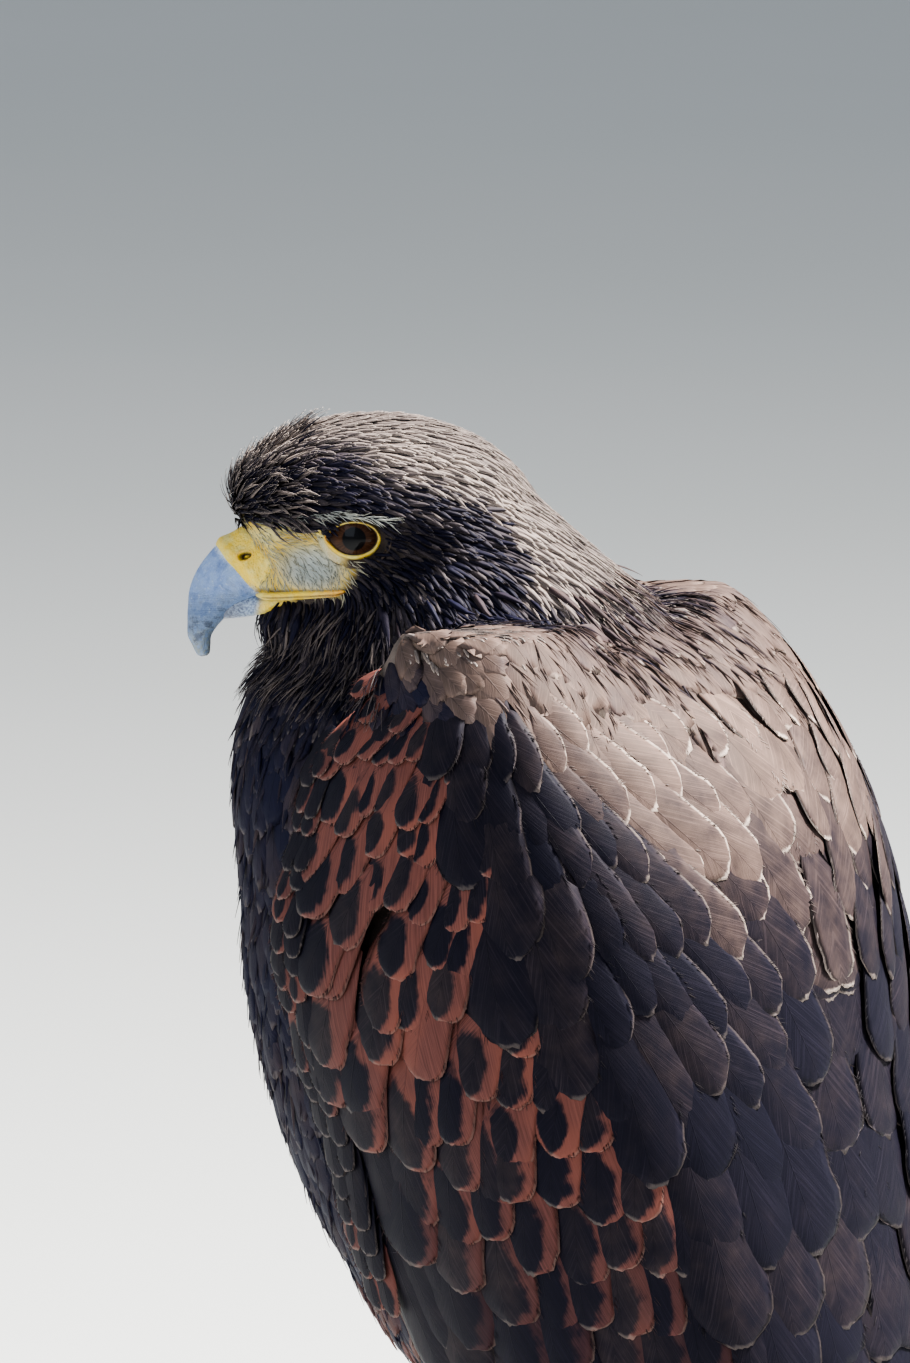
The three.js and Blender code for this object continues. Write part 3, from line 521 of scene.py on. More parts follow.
# The dark colours of the body, wing and head looks are tinted blue: painted skylight in the shade. Where the tone and
# fringe marks carry painted sunlight, the brown and pale colours stand for sunlit plumage.
body_look = feather_look("body_feathers", (0.0076, 0.0078, 0.0205), (0.125, 0.086, 0.071), (0.44, 0.35, 0.30))
wing_look = feather_look("wing_feathers", (0.0040, 0.0038, 0.0092), (0.125, 0.085, 0.070), (0.56, 0.46, 0.40), 2.4)
head_look = feather_look("head_feathers", (0.0058, 0.0056, 0.0150), (0.235, 0.190, 0.168), (0.66, 0.57, 0.50), 4.0,
                         0.00004)
tail_look = feather_look("tail_feathers", (0.008, 0.007, 0.008), (0.02, 0.015, 0.013), (0.72, 0.67, 0.6), 1.8,
                         0.00012, True)
barb_look = feather_look("free_barbs", (0.010, 0.009, 0.012), (0.24, 0.19, 0.17), (0.44, 0.36, 0.32), 3.0, 0.00002)
bristle_look = feather_look("bristles", (0.35, 0.36, 0.33), (0.55, 0.5, 0.34), (0.62, 0.62, 0.58), 3.0, 0.00002)

look = Look("skin", Roughness=0.65, Specular_IOR_Level=0.3)
bald, red, downy, sunlit = look.marks()
grain, spread = look.noise(900.0, 4), look.noise(180.0)
# sunlit is painted sunlight: it lightens the dark skin where the sun is painted on the plumage, so the gaps between
# tufts look lit too.
dark_part = look.blend((0.012, 0.009, 0.010), (0.04, 0.027, 0.022), spread, (0.2, 0.07, 0.03), red,
                       (0.17, 0.13, 0.108), sunlit * spread.step(0.2, 0.7))
yellow_part = look.blend((0.62, 0.42, 0.06), (0.55, 0.47, 0.2), spread.step(0.35, 0.65), (0.42, 0.45, 0.42), downy)
skin_look = look.done(look.blend(dark_part, yellow_part, bald), grain, 0.0003)

look = Look("cere", Roughness=0.42, Specular_IOR_Level=0.45, Subsurface_Weight=0.12, Subsurface_Scale=0.002,
            Subsurface_Radius=(1.0, 0.6, 0.2))
# Its first mark darkens: on the lower bill's tip and the skin beyond the lids this is their own colour, in the
# nostril's hole, the mouth's slit and on the upper lid under the brow it is painted shade.
dark, orange, horny, _ = look.marks()
fine, broad = look.noise(1500.0, 4), look.noise(260.0)
horn_part = look.blend((0.10, 0.15, 0.28), (0.34, 0.45, 0.62), fine.step(0.35, 0.65))
colour = look.blend((0.78, 0.53, 0.04), (0.72, 0.6, 0.19), broad.step(0.35, 0.7), (0.75, 0.27, 0.02), orange,
                    horn_part, horny, (0.03, 0.014, 0.006), dark)
cere_look = look.done(colour, fine + broad, 0.0004)

look = Look("horn", Specular_IOR_Level=0.45, Coat_Weight=0.08, Coat_Roughness=0.25)
worn, low_share, rim, _ = look.marks()
u, v = look.map("grain")
cloud, speck = look.noise(260.0, 5, 0.7), look.noise(900.0, 4, 0.75)
stroke = look.noise(1.3, 5, 0.7, look.xyz(u, v * 0.16, 0.0))
colour = look.blend(
    (0.125, 0.20, 0.42), (0.31, 0.43, 0.66), cloud.step(0.3, 0.72),
    (0.60, 0.65, 0.68), speck.step(0.52, 0.78) * 0.6,
    (0.055, 0.07, 0.12), stroke.step(0.5, 0.68) * (low_share * 0.75 + 0.12),
    (0.085, 0.14, 0.20), low_share * 0.42,
    (0.19, 0.21, 0.19), worn * speck.step(0.34, 0.6),
    (0.045, 0.055, 0.09), cloud.step(0.5, 0.62) * low_share * 0.8,
    (0.72, 0.77, 0.80), rim * speck.step(0.35, 0.6))
horn_look = look.done(colour, stroke + speck * 0.6, 0.0004, speck * 0.35 + 0.32)

look = Look("eye", Roughness=0.35, Coat_Weight=0.24, Coat_Roughness=0.02, Specular_IOR_Level=0.05)
u, v = look.map("iris")
rays = look.noise(1.0, 4, 0.7, look.xyz(u * 26.0, v * 2.0, 0.0))
colour = look.blend((0.026, 0.010, 0.005), (0.078, 0.034, 0.016), rays.step(0.35, 0.75),
                    (0.02, 0.008, 0.004), v.step(0.62, 0.95), (0.002, 0.002, 0.003), v.step(0.47, 0.42))
eye_look = look.done(colour, rays, 0.00005)

look = Look("leg", Roughness=0.45, Specular_IOR_Level=0.45)
groove, *_ = look.marks()
cells = look.node("TexVoronoi", Vector=look.place(), Scale=520.0, feature="DISTANCE_TO_EDGE")
web = cells[0].step(0.0, 0.16)
colour = look.blend((0.72, 0.46, 0.03), (0.66, 0.55, 0.12), look.noise(140.0),
                    (0.34, 0.2, 0.03), web.step(0.6, 0.0) * 0.6, (0.3, 0.19, 0.05), groove)
leg_look = look.done(colour, web, 0.0005)

look = Look("claw", Specular_IOR_Level=0.55, Coat_Weight=0.3, Coat_Roughness=0.15)
grain = look.noise(300.0, 4, 0.7)
claw_look = look.done(look.blend((0.009, 0.009, 0.011), (0.05, 0.045, 0.045), grain.step(0.4, 0.75)), grain, 0.0002,
                      grain * 0.3 + 0.15)

look = Look("bark", Roughness=0.85, Specular_IOR_Level=0.2)
cut_face, from_axis, *_ = look.marks()
x, y, z = look.parts()
fibre, patch, speck = look.noise(420.0, 6, 0.7, look.xyz(x * 0.22, y, z)), look.noise(45.0, 4), look.noise(1500.0)
ring = look.math("SINE", from_axis * 62.0 + patch * 4.0)
wood = look.blend((0.5, 0.34, 0.19), (0.3, 0.18, 0.09), ring.step(-0.4, 1.0))
colour = look.blend((0.05, 0.032, 0.02), (0.21, 0.15, 0.1), fibre.step(0.3, 0.7),
                    (0.3, 0.29, 0.24), patch.step(0.5, 0.7) * 0.6, wood, cut_face)
bark_look = look.done(colour, fibre * 1.5 + speck, 0.0008)

look = Look("steel", Metallic=0.9, Specular_IOR_Level=0.5)
x, y, z = look.parts()
brushed = look.noise(900.0, at=look.xyz(x, y, z * 0.02))
steel_look = look.done(look.blend((0.36, 0.36, 0.37), (0.56, 0.55, 0.54), brushed), brushed, 0.00003,
                       brushed * 0.2 + 0.22)

look = Look("base_wood", Specular_IOR_Level=0.4, Coat_Weight=0.35, Coat_Roughness=0.25)
x, y, z = look.parts()
lines = look.noise(150.0, 5, 0.65, look.xyz(x * 0.06, y + look.noise(14.0) * 0.012, z * 0.5))
pores = look.noise(900.0, at=look.xyz(x * 0.08, y, z))
colour = look.blend((0.055, 0.026, 0.013), (0.17, 0.085, 0.042), lines.step(0.32, 0.7),
                    (0.03, 0.014, 0.008), pores.step(0.56, 0.7) * 0.7)
base_look = look.done(colour, pores, 0.00012, lines * 0.2 + 0.25)


# ---- Skin: one closed form under all the feathers ----
def head_sections(grow, stations, sides):
    top, bottom, half = along(HEAD, stations).T[..., None]
    out, up = np.sin(circle(sides)) * (half + grow), np.cos(circle(sides)) * ((top - bottom) / 2 + grow)
    return closed(head_place(stations[:, None], out, (top + bottom) / 2 + up))


def arm(side):
    """The solid part of the folded wing, under its feathers."""
    z, a = np.meshgrid(np.linspace(429, 266, 40), np.linspace(0.05, 0.97, 26), indexing="ij")
    depth = 22 * np.minimum(1, (z - 262) / 40 + 0.28) * np.minimum(1, (434 - z) / 22) * (1 - 0.55 * a**3)
    thin = 0.25 + 0.75 * np.sin(np.pi * np.clip((a - 0.03) / 0.95, 0, 1)) ** 0.5
    grow = mix(-5.0, -1.6, ease(376, 402, z))
    over, under = wing_point(z, a, grow), wing_point(z, a, grow - depth * thin)
    return closed(np.concatenate([over, under[:, ::-1]], axis=1) * [side, 1, 1])


def ridge(side, sides, rows):
    """A round ridge on the head, with rows of its places forward, out and up and its radius."""
    f, s, z, radius = np.array(rows).T
    return sweep(head_place(f, side * s, z), radius, sides)


# The brow over the eye, from front to back
BROW = [(57, 10, 452.2, 1.2), (49, 16.4, 454.4, 2.0), (41, 20.6, 456.4, 2.5), (32, 23, 456.4, 2.4),
        (22, 24, 453, 1.0)]
# The fleshy edge over the corner of the mouth, from under the cere back to the gape's end
CHEEK = [(63.5, 4.4, 434.2, 1.6), (61, 5.8, 434, 2.4), (58, 7.3, 434, 2.7), (53, 9.2, 434.2, 2.8),
         (48, 11.4, 434.6, 2.8), (43, 14.6, 435.2, 2.0)]
parts = [level_rings(TORSO, np.linspace(428, 201, 60), -2.8, 64, lambda y, *reach: (0, y, 0, *reach)),
         level_rings(NECK, np.linspace(458, 396, 24), -2.2, 56, lambda turn, *reach: (0, NECK_Y, turn, *reach)),
         head_sections(-1.3, np.linspace(-10, 67.5, 44), 56),
         ellipsoid(head_place(43, 0, 424), [12.2, 18.2, 8.6], True)]
for side in (-1, 1):
    thigh = lambda x, y, half, reach: (side * x, y, 0, half, reach, reach)
    parts += [level_rings(THIGH, np.linspace(273, 200, 24), -2.6, 40, thigh), arm(side),
              ridge(side, 12, BROW), ridge(side, 14, CHEEK), ellipsoid((side * 37, -12, 408), (20, 25, 20))]
draft = make("skin", *gather(parts), skin_look, "body")
remesh = draft.modifiers.new("remesh", "REMESH")
remesh.mode, remesh.voxel_size, remesh.adaptivity = "VOXEL", 0.00165, 0.0
bpy.context.view_layer.update()
solid = bpy.data.meshes.new_from_object(draft.evaluated_get(bpy.context.evaluated_depsgraph_get()))
bpy.data.objects.remove(draft)


def read(items, key, kind, width):
    """One property of all the items of a mesh, as rows of width numbers."""
    values = np.empty(len(items) * width, kind)
    items.foreach_get(key, values)
    return values.reshape(-1, width)


def smoothed(points, edges, times):
    """Each point moved halfway to the middle of its neighbours, so many times."""
    a, b = edges.T
    count = np.bincount(edges.ravel(), minlength=len(points))[:, None]
    near = lambda ends, others, column: np.bincount(ends, column[others], len(column))
    for _ in range(times):
        total = np.stack([near(a, b, column) + near(b, a, column) for column in points.T], -1)
        points = mix(points, total / count, 0.5)
    return points


LORES = ((50.5, 441), 22.6, (11.2, 12.5, 9))
SOCKET = ((36.2, 448.0), 28.0, (9.2, 9.8, 7.8))


def face_cut(points, hollow):
    """Presses a smooth hollow into both sides of the head: its middle, how far out its centre is, and its radii."""
    f, s, z = head_parts(points)
    middle, centre_out, radii = hollow
    inside = 1 - ((f - middle[0]) / radii[1]) ** 2 - ((z - middle[1]) / radii[2]) ** 2
    reach = centre_out - radii[0] * np.sqrt(np.maximum(inside, 0))
    out = np.where((inside > 0) & (np.abs(s) > reach) & (z > 415), reach, np.abs(s))
    return head_place(f, np.sign(s) * out, z)


edges = read(solid.edges, "vertices", np.int32, 2)
skin_points = smoothed(read(solid.vertices, "co", np.float32, 3).astype(float) * 1000 - SHIFT, edges, 8)
f, s, z = head_parts(skin_points)
on_face = ((z > 418) & (f > 20))[:, None]
skin_points = smoothed(np.where(on_face, face_cut(skin_points, LORES), skin_points), edges, 2)
socketed = smoothed(np.where(on_face, face_cut(skin_points, SOCKET), skin_points), edges, 1)
quads = read(solid.loops, "vertex_index", np.int32, 1).reshape(-1, 4)
skin_faces = np.concatenate([quads[:, [0, 1, 2]], quads[:, [0, 2, 3]]])
bpy.data.meshes.remove(solid)


def vertex_normals(points, faces):
    a, b, c = (points[faces[:, k]] for k in range(3))
    face = np.cross(b - a, c - a)
    return unit(np.stack([sum(np.bincount(corner, part, len(points)) for corner in faces.T) for part in face.T], -1))


skin_normals = vertex_normals(skin_points, skin_faces)
tree = BVHTree.FromPolygons(skin_points.tolist(), skin_faces.tolist())


def nearest(points):
    """The nearest skin point to each point, with the skin's smooth normal there."""
    hits = [tree.find_nearest(p) for p in points.tolist()]
    place = np.array([h[0] for h in hits])
    corners = skin_faces[np.array([h[2] for h in hits])]
    weight = 1 / (np.linalg.norm(skin_points[corners] - place[:, None], axis=-1) + 0.05)
    return place, unit((skin_normals[corners] * weight[..., None]).sum(1))


def bare(points):
    """How bare and yellow the face is at each point, from 0 to 1, and how pale its down is."""
    f, s, z = head_parts(points)
    top = mix(449.6, 452.4, ease(42, 58, f))
    low = mix(431.6, 428.5, ease(48, 53, f))
    rear = np.clip(39.3 - 0.52 * (z - 433), 34.9, 41)
    shape = ease(-1.2, 1.6, f - rear) * ease(0, 2.2, top - z) * ease(0, 2, z - low) * ease(4.5, 7, np.abs(s))
    return shape, ease(0, 1, 1 - ((f - 47) / 11) ** 2 - ((z - 439) / 7.5) ** 2) * shape


def shoulder(p):
    return ease(33, 42, np.abs(p[:, 0])) * ease(394, 404, p[:, 2]) * ease(-52, -38, p[:, 1])


def shoulder_front(p):
    """1 where the shoulder turns down in front, with small and close feathers."""
    return ease(8, -8, p[:, 1]) * ease(22, 32, np.abs(p[:, 0])) * ease(388, 402, p[:, 2])


def rear_share(p):
    """1 on the mantle and over the shoulders, 0 on the breast."""
    return np.maximum(ease(-10, 25, p[:, 1] + 0.12 * (p[:, 2] - 380)), shoulder(p))


def painted_sunlight(p):
    """How pale the plumage is painted by sunlight: most on the crown, the nape, the mantle and the tops of the
    shoulders, which the sun reaches from above and behind.
    """
    f, s, z = head_parts(p)
    edge = np.interp(f, [-60, -5, -3, 3, 26, 42, 55, 68], [424, 430, 441, 453, 465.5, 470, 465.5, 466])
    edge = edge - 10 * ease(10, 3, np.abs(s)) * ease(42, 54, f)
    head = ease(-4, 6, z - edge + 2.5 * wobble(p, 8, 71))
    body_edge = np.interp(p[:, 1], [-45, -35, -12, 8, 22], [423, 417, 407, 396, 300])
    body = rear_share(p) * mix(0.55, 1, ease(320, 405, z)) * ease(-4, 5, z - body_edge)
    return mix(body, head, ease(426, 440, z))


def body_share(p):
    """The shares of the way round the body, from its back, and up it, for the bake maps."""
    return np.arctan2(p[:, 0], -(p[:, 1] + 10)) / (2 * np.pi) + 0.5, (p[:, 2] - 190) / 300


yellow, pale = bare(skin_points)
thigh_red = ease(262, 240, skin_points[:, 2]) * ease(30, 10, skin_points[:, 1])
# The skin's fourth mark is painted sunlight, lighter where the sun is painted on the plumage.
make("skin", socketed, skin_faces, skin_look, "body", ("head", "neck", "torso", "thigh_left", "thigh_right"),
     {"OFBake": stack(*body_share(skin_points))},
     stack(yellow, thigh_red, pale, 0.8 * painted_sunlight(skin_points)))


# ---- Where tufts grow ----
def scatter(keep, spacing, seed):
    """Points spread evenly over the part of the skin that keep() picks; spacing() gives their distance."""
    draw = np.random.default_rng(seed)
    a, b, c = (skin_points[skin_faces[:, k]] for k in range(3))
    middle = (a + b + c) / 3
    chosen = np.flatnonzero(keep(middle))
    area = np.linalg.norm(np.cross(b - a, c - a), axis=-1)[chosen] / 2
    share = area / spacing(middle[chosen]) ** 2
    count = int(share.sum() * 3)
    pick = chosen[np.searchsorted(np.cumsum(share) / share.sum(), draw.random(count)).clip(0, len(chosen) - 1)]
    r1, r2 = np.sqrt(draw.random(count))[:, None], draw.random(count)[:, None]
    points = (1 - r1) * a[pick] + r1 * (1 - r2) * b[pick] + r1 * r2 * c[pick]
    limits = spacing(points)
    cells = np.floor(points / limits.max()).astype(int)
    near = [(i, j, k) for i in (-1, 0, 1) for j in (-1, 0, 1) for k in (-1, 0, 1)]
    grid, kept = {}, []
    for n, ((x, y, z), (cx, cy, cz), gap) in enumerate(zip(points.tolist(), cells.tolist(), limits.tolist())):
        limit = gap * gap * 0.72
        others = (other for i, j, k in near for other in grid.get((cx + i, cy + j, cz + k), ()))
        if all((ox - x) ** 2 + (oy - y) ** 2 + (oz - z) ** 2 >= limit for ox, oy, oz in others):
            grid.setdefault((cx, cy, cz), []).append((x, y, z))
            kept.append(n)
    return points[kept]


def even(gap):
    """The same distance everywhere, for scatter()."""
    return lambda p: np.full(len(p), gap)


def flow(points, normals):
    """The lie of the coat: back from the bill over the head, then down the body."""
    f, s, z = head_parts(points)
    head_way = unit(head_place(f, s, z) - head_place(66.0, 0.0, 449.0)) + np.array([0, 0.02, -0.32])
    chin = ease(0, 10, 436 - z) * ease(20, 40, f)
    head_way = mix(head_way, np.array([0.05, 0.25, -1.0]), (chin * 0.75)[:, None])
    from_neck = unit(stack(points[:, 0], points[:, 1] - NECK_Y, 0))
    body_way = np.array([0, 0.12, -1.0]) + from_neck * (0.75 * ease(375, 405, z))[:, None]
    back_share = ease(396, 424, z) * ease(-48, -25, points[:, 1]) * ease(20, 34, np.abs(points[:, 0]))
    body_way = body_way + np.array([0, 1.3, 0]) * back_share[:, None]
    way = mix(body_way, head_way, ease(414, 446, z)[:, None])
    return unit(way - normals * np.einsum("ij,ij->i", way, normals)[:, None])


def body_unwrap(p):
    return 0.01 + stack(*body_share(p)) * [0.97, 0.96]


def head_unwrap(p):
    f, s, z = head_parts(p)
    angle = np.arctan2(s, z - 446) / (2 * np.pi) + 0.5
    return stack(0.01 + 0.97 * angle, 0.02 + 0.95 * np.clip((f + 45) / 120, 0, 1))


# A tuft's rows, as shares of its length, and its columns
FEATHER = (np.array([0, 0.22, 0.42, 0.6, 0.76, 0.88, 0.96, 1.0]), 5)
HAIR = (np.array([0, 0.3, 0.62, 0.88, 1.0]), 3)
STUBBLE = (np.array([0, 0.4, 0.8, 1.0]), 3)


def tufts(name, roots, length, half, look, slot, lifts, marks, outline, thick, stray, seed, grid=HAIR, fray=0.0,
          unwrap=body_unwrap):
    """Feathers that follow the skin from their roots along the lie of the coat."""
    draw = np.random.default_rng(seed)
    count, (share, columns) = len(roots), grid
    place, normal = nearest(roots)
    turn = draw.normal(0, stray, count)[:, None]
    centres, ups, sides = [place], [normal], [np.cross(flow(place, normal), normal)]
    for step in np.diff(share):
        way = flow(centres[-1], ups[-1])
        way = unit(way + np.cross(ups[-1], way) * turn)
        place, normal = nearest(centres[-1] + way * (step * length)[:, None])
        ups.append(unit(normal + ups[-1] * 0.3))
        sides.append(np.cross(unit(place - centres[-1]), ups[-1]))
        centres.append(place)
    centre, up, side = (np.stack(v, 1) for v in (centres, ups, sides))
    raised = np.broadcast_to(lifts[1], count) * draw.uniform(0.75, 1.25, count)
    centre = centre + up * mix(lifts[0], raised[:, None], share ** 0.8)[..., None]
    u, face = lens(columns)
    left = (half[:, None] * outline(share))[..., None]
    height = 0.12 * left * (1 - 1.6 * u**2) + face * (1 - u**2) * (thick * (1 - 0.75 * share))[:, None]
    point = centre[:, :, None] + unit(side)[:, :, None] * (left * u)[..., None] + up[:, :, None] * height[..., None]
    if fray:
        uneven = both_faces((draw.random((count, len(share), columns)) - 0.6) * ease(0.5, 1, share)[:, None] * fray)
        along_way = unit(np.gradient(centre, axis=1))
        point = point + along_way[:, :, None] * (uneven * length[:, None, None])[..., None]
    places = unwrap(roots)[:, None, None]
    vane_piece(name, point, (u, share[:, None]), (left * u, (share * length[:, None])[..., None]),
               lambda vane: places + 0.003 * (vane * [0.5, 1]), marks[:, None, None], look, slot)


# The wings' sheets hide part of the skin: nothing grows there
ROWS, COLUMNS = 30, 20
z, a = np.meshgrid(np.linspace(402, 262, ROWS), np.linspace(0.09, 0.93, COLUMNS), indexing="ij")
sheet = wing_point(z, a, 0.0).reshape(-1, 3)
i, j = np.meshgrid(np.arange(ROWS - 1), np.arange(COLUMNS - 1), indexing="ij")
quad = (i * COLUMNS + j).reshape(-1, 1) + [0, 1, COLUMNS + 1, COLUMNS]
cover = BVHTree.FromPolygons(np.concatenate([sheet, sheet * [-1, 1, 1]]).tolist(),
                             np.concatenate([quad, quad + len(sheet)]).tolist())


def in_open(points):
    """Those of the points that have no wing over them."""
    _, normals = nearest(points)
    return points[[cover.ray_cast(p, n, 40)[0] is None for p, n in zip(points.tolist(), normals.tolist())]]


# ---- Body feathers ----
draw = np.random.default_rng(11)


def marked(count, rufous, fringe, tone, spot=0.0, vary=0.18):
    marks = np.empty((count, 4))
    marks[:, 0], marks[:, 1], marks[:, 3] = rufous, fringe, spot
    marks[:, 2] = np.clip(tone + draw.normal(0, vary, count), 0, 1)
    return marks


def varied(value, low, high):
    return value * draw.uniform(low, high, len(value))


def hairs(name, p, seed, length, half, look, lifts, marks, thick, stray, **options):
    """A layer of fine hairs rooted at points of the skin. length and half are the least and the most."""
    tufts(name, p, draw.uniform(*length, len(p)), draw.uniform(*half, len(p)), look, "body", lifts,
          marked(len(p), 0, *marks), point_tip, thick, stray, seed, **options)


def head_share(p):
    """1 on the head, 0 on the body."""
    f, _, z = head_parts(p)
    return ease(424, 438, z + 0.10 * np.minimum(f, 40))


def on_body(p):
    between_legs = (np.abs(p[:, 0]) > 12) & (p[:, 1] < 10) & (p[:, 2] < 236)
    return (head_share(p) < 0.85) & (p[:, 2] > 212) & ~between_legs


def narrowing(p):
    """1 on the neck, where feathers are narrow, 0 on the body."""
    return mix(ease(385, 430, p[:, 2]), ease(426, 446, p[:, 2]) * (1 - shoulder(p)), rear_share(p))


def body_gap(p):
    return mix(mix(5.6, 6.2, rear_share(p)), 2.7, narrowing(p)) * (1 - 0.35 * shoulder_front(p))


# A long feather's root is hidden, so its colour is read further down
p = in_open(scatter(on_body, body_gap, 2))
rear, high, sun, bend = rear_share(p), narrowing(p), painted_sunlight(p + [0, 3, -9]), shoulder_front(p)
length = varied(mix(mix(23, 26, rear), 12.5, high), 0.85, 1.15) * (1 - 0.4 * bend)
half = varied(mix(mix(6.4, 7.8, rear), 2.6, high), 0.85, 1.15) * (1 - 0.42 * bend)
# The fringe and tone marks rise with the painted sunlight on the mantle and shoulders.
marks = marked(len(p), 0, mix(0.10, 0.62, sun) * (1 - 0.85 * bend), mix(0.09, 0.82, sun), 0, 0.08)
lifts = 1.7 - 0.7 * np.maximum(high, bend)
for part, chosen in (("front", (rear < 0.5) & (high < 0.6)), ("back", (rear >= 0.5) & (high < 0.6))):
    tufts("body_feathers_" + part, p[chosen], length[chosen], half[chosen], body_look, "body", (-0.5, lifts[chosen]),
          marks[chosen], lambda v: round_tip(v, 0.72, 0.45, 0.16), 0.3, 0.10, 3, FEATHER, 0.14)
p = in_open(scatter(lambda p: on_body(p) & (narrowing(p) > 0.5),
                    lambda p: mix(2.1, 1.5, ease(0.5, 1, narrowing(p))), 4))
# The neck feathers' fringe and tone rise with painted sunlight.
high, sun = ease(0.5, 1, narrowing(p)), painted_sunlight(p + [0, 1, -5])
tufts("neck_feathers", p, varied(mix(15, 11.5, high), 0.8, 1.2), varied(mix(2.0, 1.1, high), 0.75, 1.25), head_look,
      "body", (-0.4, 1.1), marked(len(p), 0, 0.1 + 0.7 * sun, 0.06 + 0.66 * sun, 0, 0.12),
      lambda v: round_tip(v, 0.5, 0.6, 0.1), 0.14, 0.14, 5)


def on_mantle(p):
    return on_body(p) & (p[:, 2] > 398) & (rear_share(p) > 0.3) & ((shoulder(p) < 0.5) | (p[:, 1] > 4))


def on_breast(p):
    return on_body(p) & (p[:, 1] < 25) & (shoulder(p) < 0.2)


# Fine hairs that soften the nape and the mantle, and loose barbs that break up the breast and the flanks
# Both layers take painted sunlight into their tone.
p = in_open(scatter(on_mantle, even(2.6), 23))
hairs("mantle_hairs", p, 24, (8, 15), (0.25, 0.6), body_look, (0.6, 2.3), (0.8, 0.15 + 0.7 * painted_sunlight(p), 0, 0.15),
      0.15, 0.14)
p = in_open(scatter(on_breast, even(5.4), 21))
hairs("body_strands", p, 22, (7, 14), (0.5, 1.4), body_look, (0.8, 2.9), (0.25, 0.12 + 0.3 * painted_sunlight(p), 0, 0.12),
      0.2, 0.22)


def on_thigh(p):
    return (p[:, 2] < 262) & (np.abs(p[:, 0]) > 8) & (p[:, 1] < 12) & (p[:, 2] > 203)


p = in_open(scatter(on_thigh, even(3.4), 5))
low_part = ease(262, 225, p[:, 2])
tufts("thigh_feathers", p, varied(mix(19, 15, low_part), 0.8, 1.2), varied(mix(3.8, 2.1, low_part), 0.8, 1.25),
      body_look, "thighs", (-0.3, 2.2), marked(len(p), 0.3 + 0.6 * low_part, 0.12, 0.22),
      lambda v: round_tip(v, 0.5, 0.7, 0.1), 0.2, 0.18, 6, FEATHER, 0.12)


# ---- Head feathers ----
def eye_gap(p):
    """Distance from the eye's opening, 1 at its lids' outer edge."""
    f, s, z = head_parts(p)
    return np.where(np.abs(s) > 8, np.hypot((f - EYE_AT[0] - 0.3) / 8.0, (z - EYE_AT[2]) / 6.1), 9)


def on_head(p):
    f, s, z = head_parts(p)
    bill = (f > 58) & (z < 449.8) & (z > 420) & (np.abs(s) < 14) | (f > 47) & (z < 436) & (z > 426)
    return (head_share(p) > 0.15) & (bare(p)[0] < 0.45) & (eye_gap(p) > 1.0) & ~bill


def head_size(p):
    """0 beside the bill and the eye, 1 on the nape."""
    f, s, z = head_parts(p)
    return np.clip(np.hypot(np.hypot(f - 58, s * 0.8), z - 446) / 75, 0, 1)


p = scatter(on_head, lambda p: mix(0.9, 1.5, head_size(p)), 7)
size, sun, by_eye = head_size(p), painted_sunlight(p), eye_gap(p) < 1.5
f, s, z = head_parts(p)
length = varied(mix(4.2, 12.5, size), 0.8, 1.25) * np.where(by_eye, 0.6, 1)
half = varied(mix(0.52, 1.0, size), 0.75, 1.25) * np.where(by_eye, 0.7, 1)
front = ease(50, 60, f) * ease(449, 455, z)
# The fringe and tone marks rise with painted sunlight on the crown and nape.
marks = marked(len(p), 0, 0.10 + 0.8 * sun + 0.3 * front, 0.06 + 0.72 * sun, 0, 0.12)
lifts = mix(0.75, 1.15, size) + 1.6 * front
for k, chosen in enumerate((s > 0, s <= 0)):
    tufts("head_feathers_" + "lr"[k], p[chosen], length[chosen], half[chosen], head_look, "body",
          (-0.35, lifts[chosen]), marks[chosen], lambda v: round_tip(v, 0.35, 0.6, 0.08), 0.13, 0.16, 8 + k,
          unwrap=head_unwrap)


# Fine hairs over the lores and the chin, and stiff ones over the forehead
def on_lores(p):
    return (bare(p)[0] > 0.3) & (eye_gap(p) > 0.94) & (p[:, 2] > 433.4)


def on_chin(p):
    f, _, z = head_parts(p)
    return (z < np.where(f > 46, 426, 430)) & (z > 408) & (f > 28) & (f < 64)


def on_forehead(p):
    f, _, z = head_parts(p)
    return (f > 50) & (z > 450) & (bare(p)[0] < 0.5)


p = scatter(on_lores, even(0.95), 12)
hairs("lore_bristles", p, 13, (2.2, 4.4), (0.10, 0.19), bristle_look, (-0.2, 0.9),
      (0.5, mix(0.75, 0.2, bare(p)[1])), 0.1, 0.3, grid=STUBBLE, unwrap=head_unwrap)
hairs("chin_hairs", scatter(on_chin, even(1.5), 14), 15, (6, 13), (0.22, 0.5), head_look, (0.2, 3.6),
      (0.15, 0.3, 0, 0.25), 0.14, 0.3, unwrap=head_unwrap)
hairs("forehead_plumes", scatter(on_forehead, even(1.5), 16), 17, (5.5, 9.5), (0.3, 0.6), head_look, (0.2, 3.4),
      (0.95, 0.35, 0, 0.2), 0.12, 0.28, unwrap=head_unwrap)
# A pale line of plumes along the brow's edge
t = draw.uniform(0, 1, 180) ** 0.8
side = np.where(np.arange(180) % 2, 1, -1)
p = head_place(mix(60, 27, t), side * np.interp(t, [0, 0.3, 0.6, 1], [8, 17, 21.5, 25]),
               np.interp(t, [0, 0.25, 0.6, 1], [452.2, 452.6, 454.7, 453.2]) + draw.normal(0, 0.3, 180))
hairs("brow_plumes", p, 19, (2.6, 5.6), (0.08, 0.2), bristle_look, (0.5, 1.5), (0.8, 0.15, 0, 0.1), 0.1, 0.3,
      unwrap=head_unwrap)


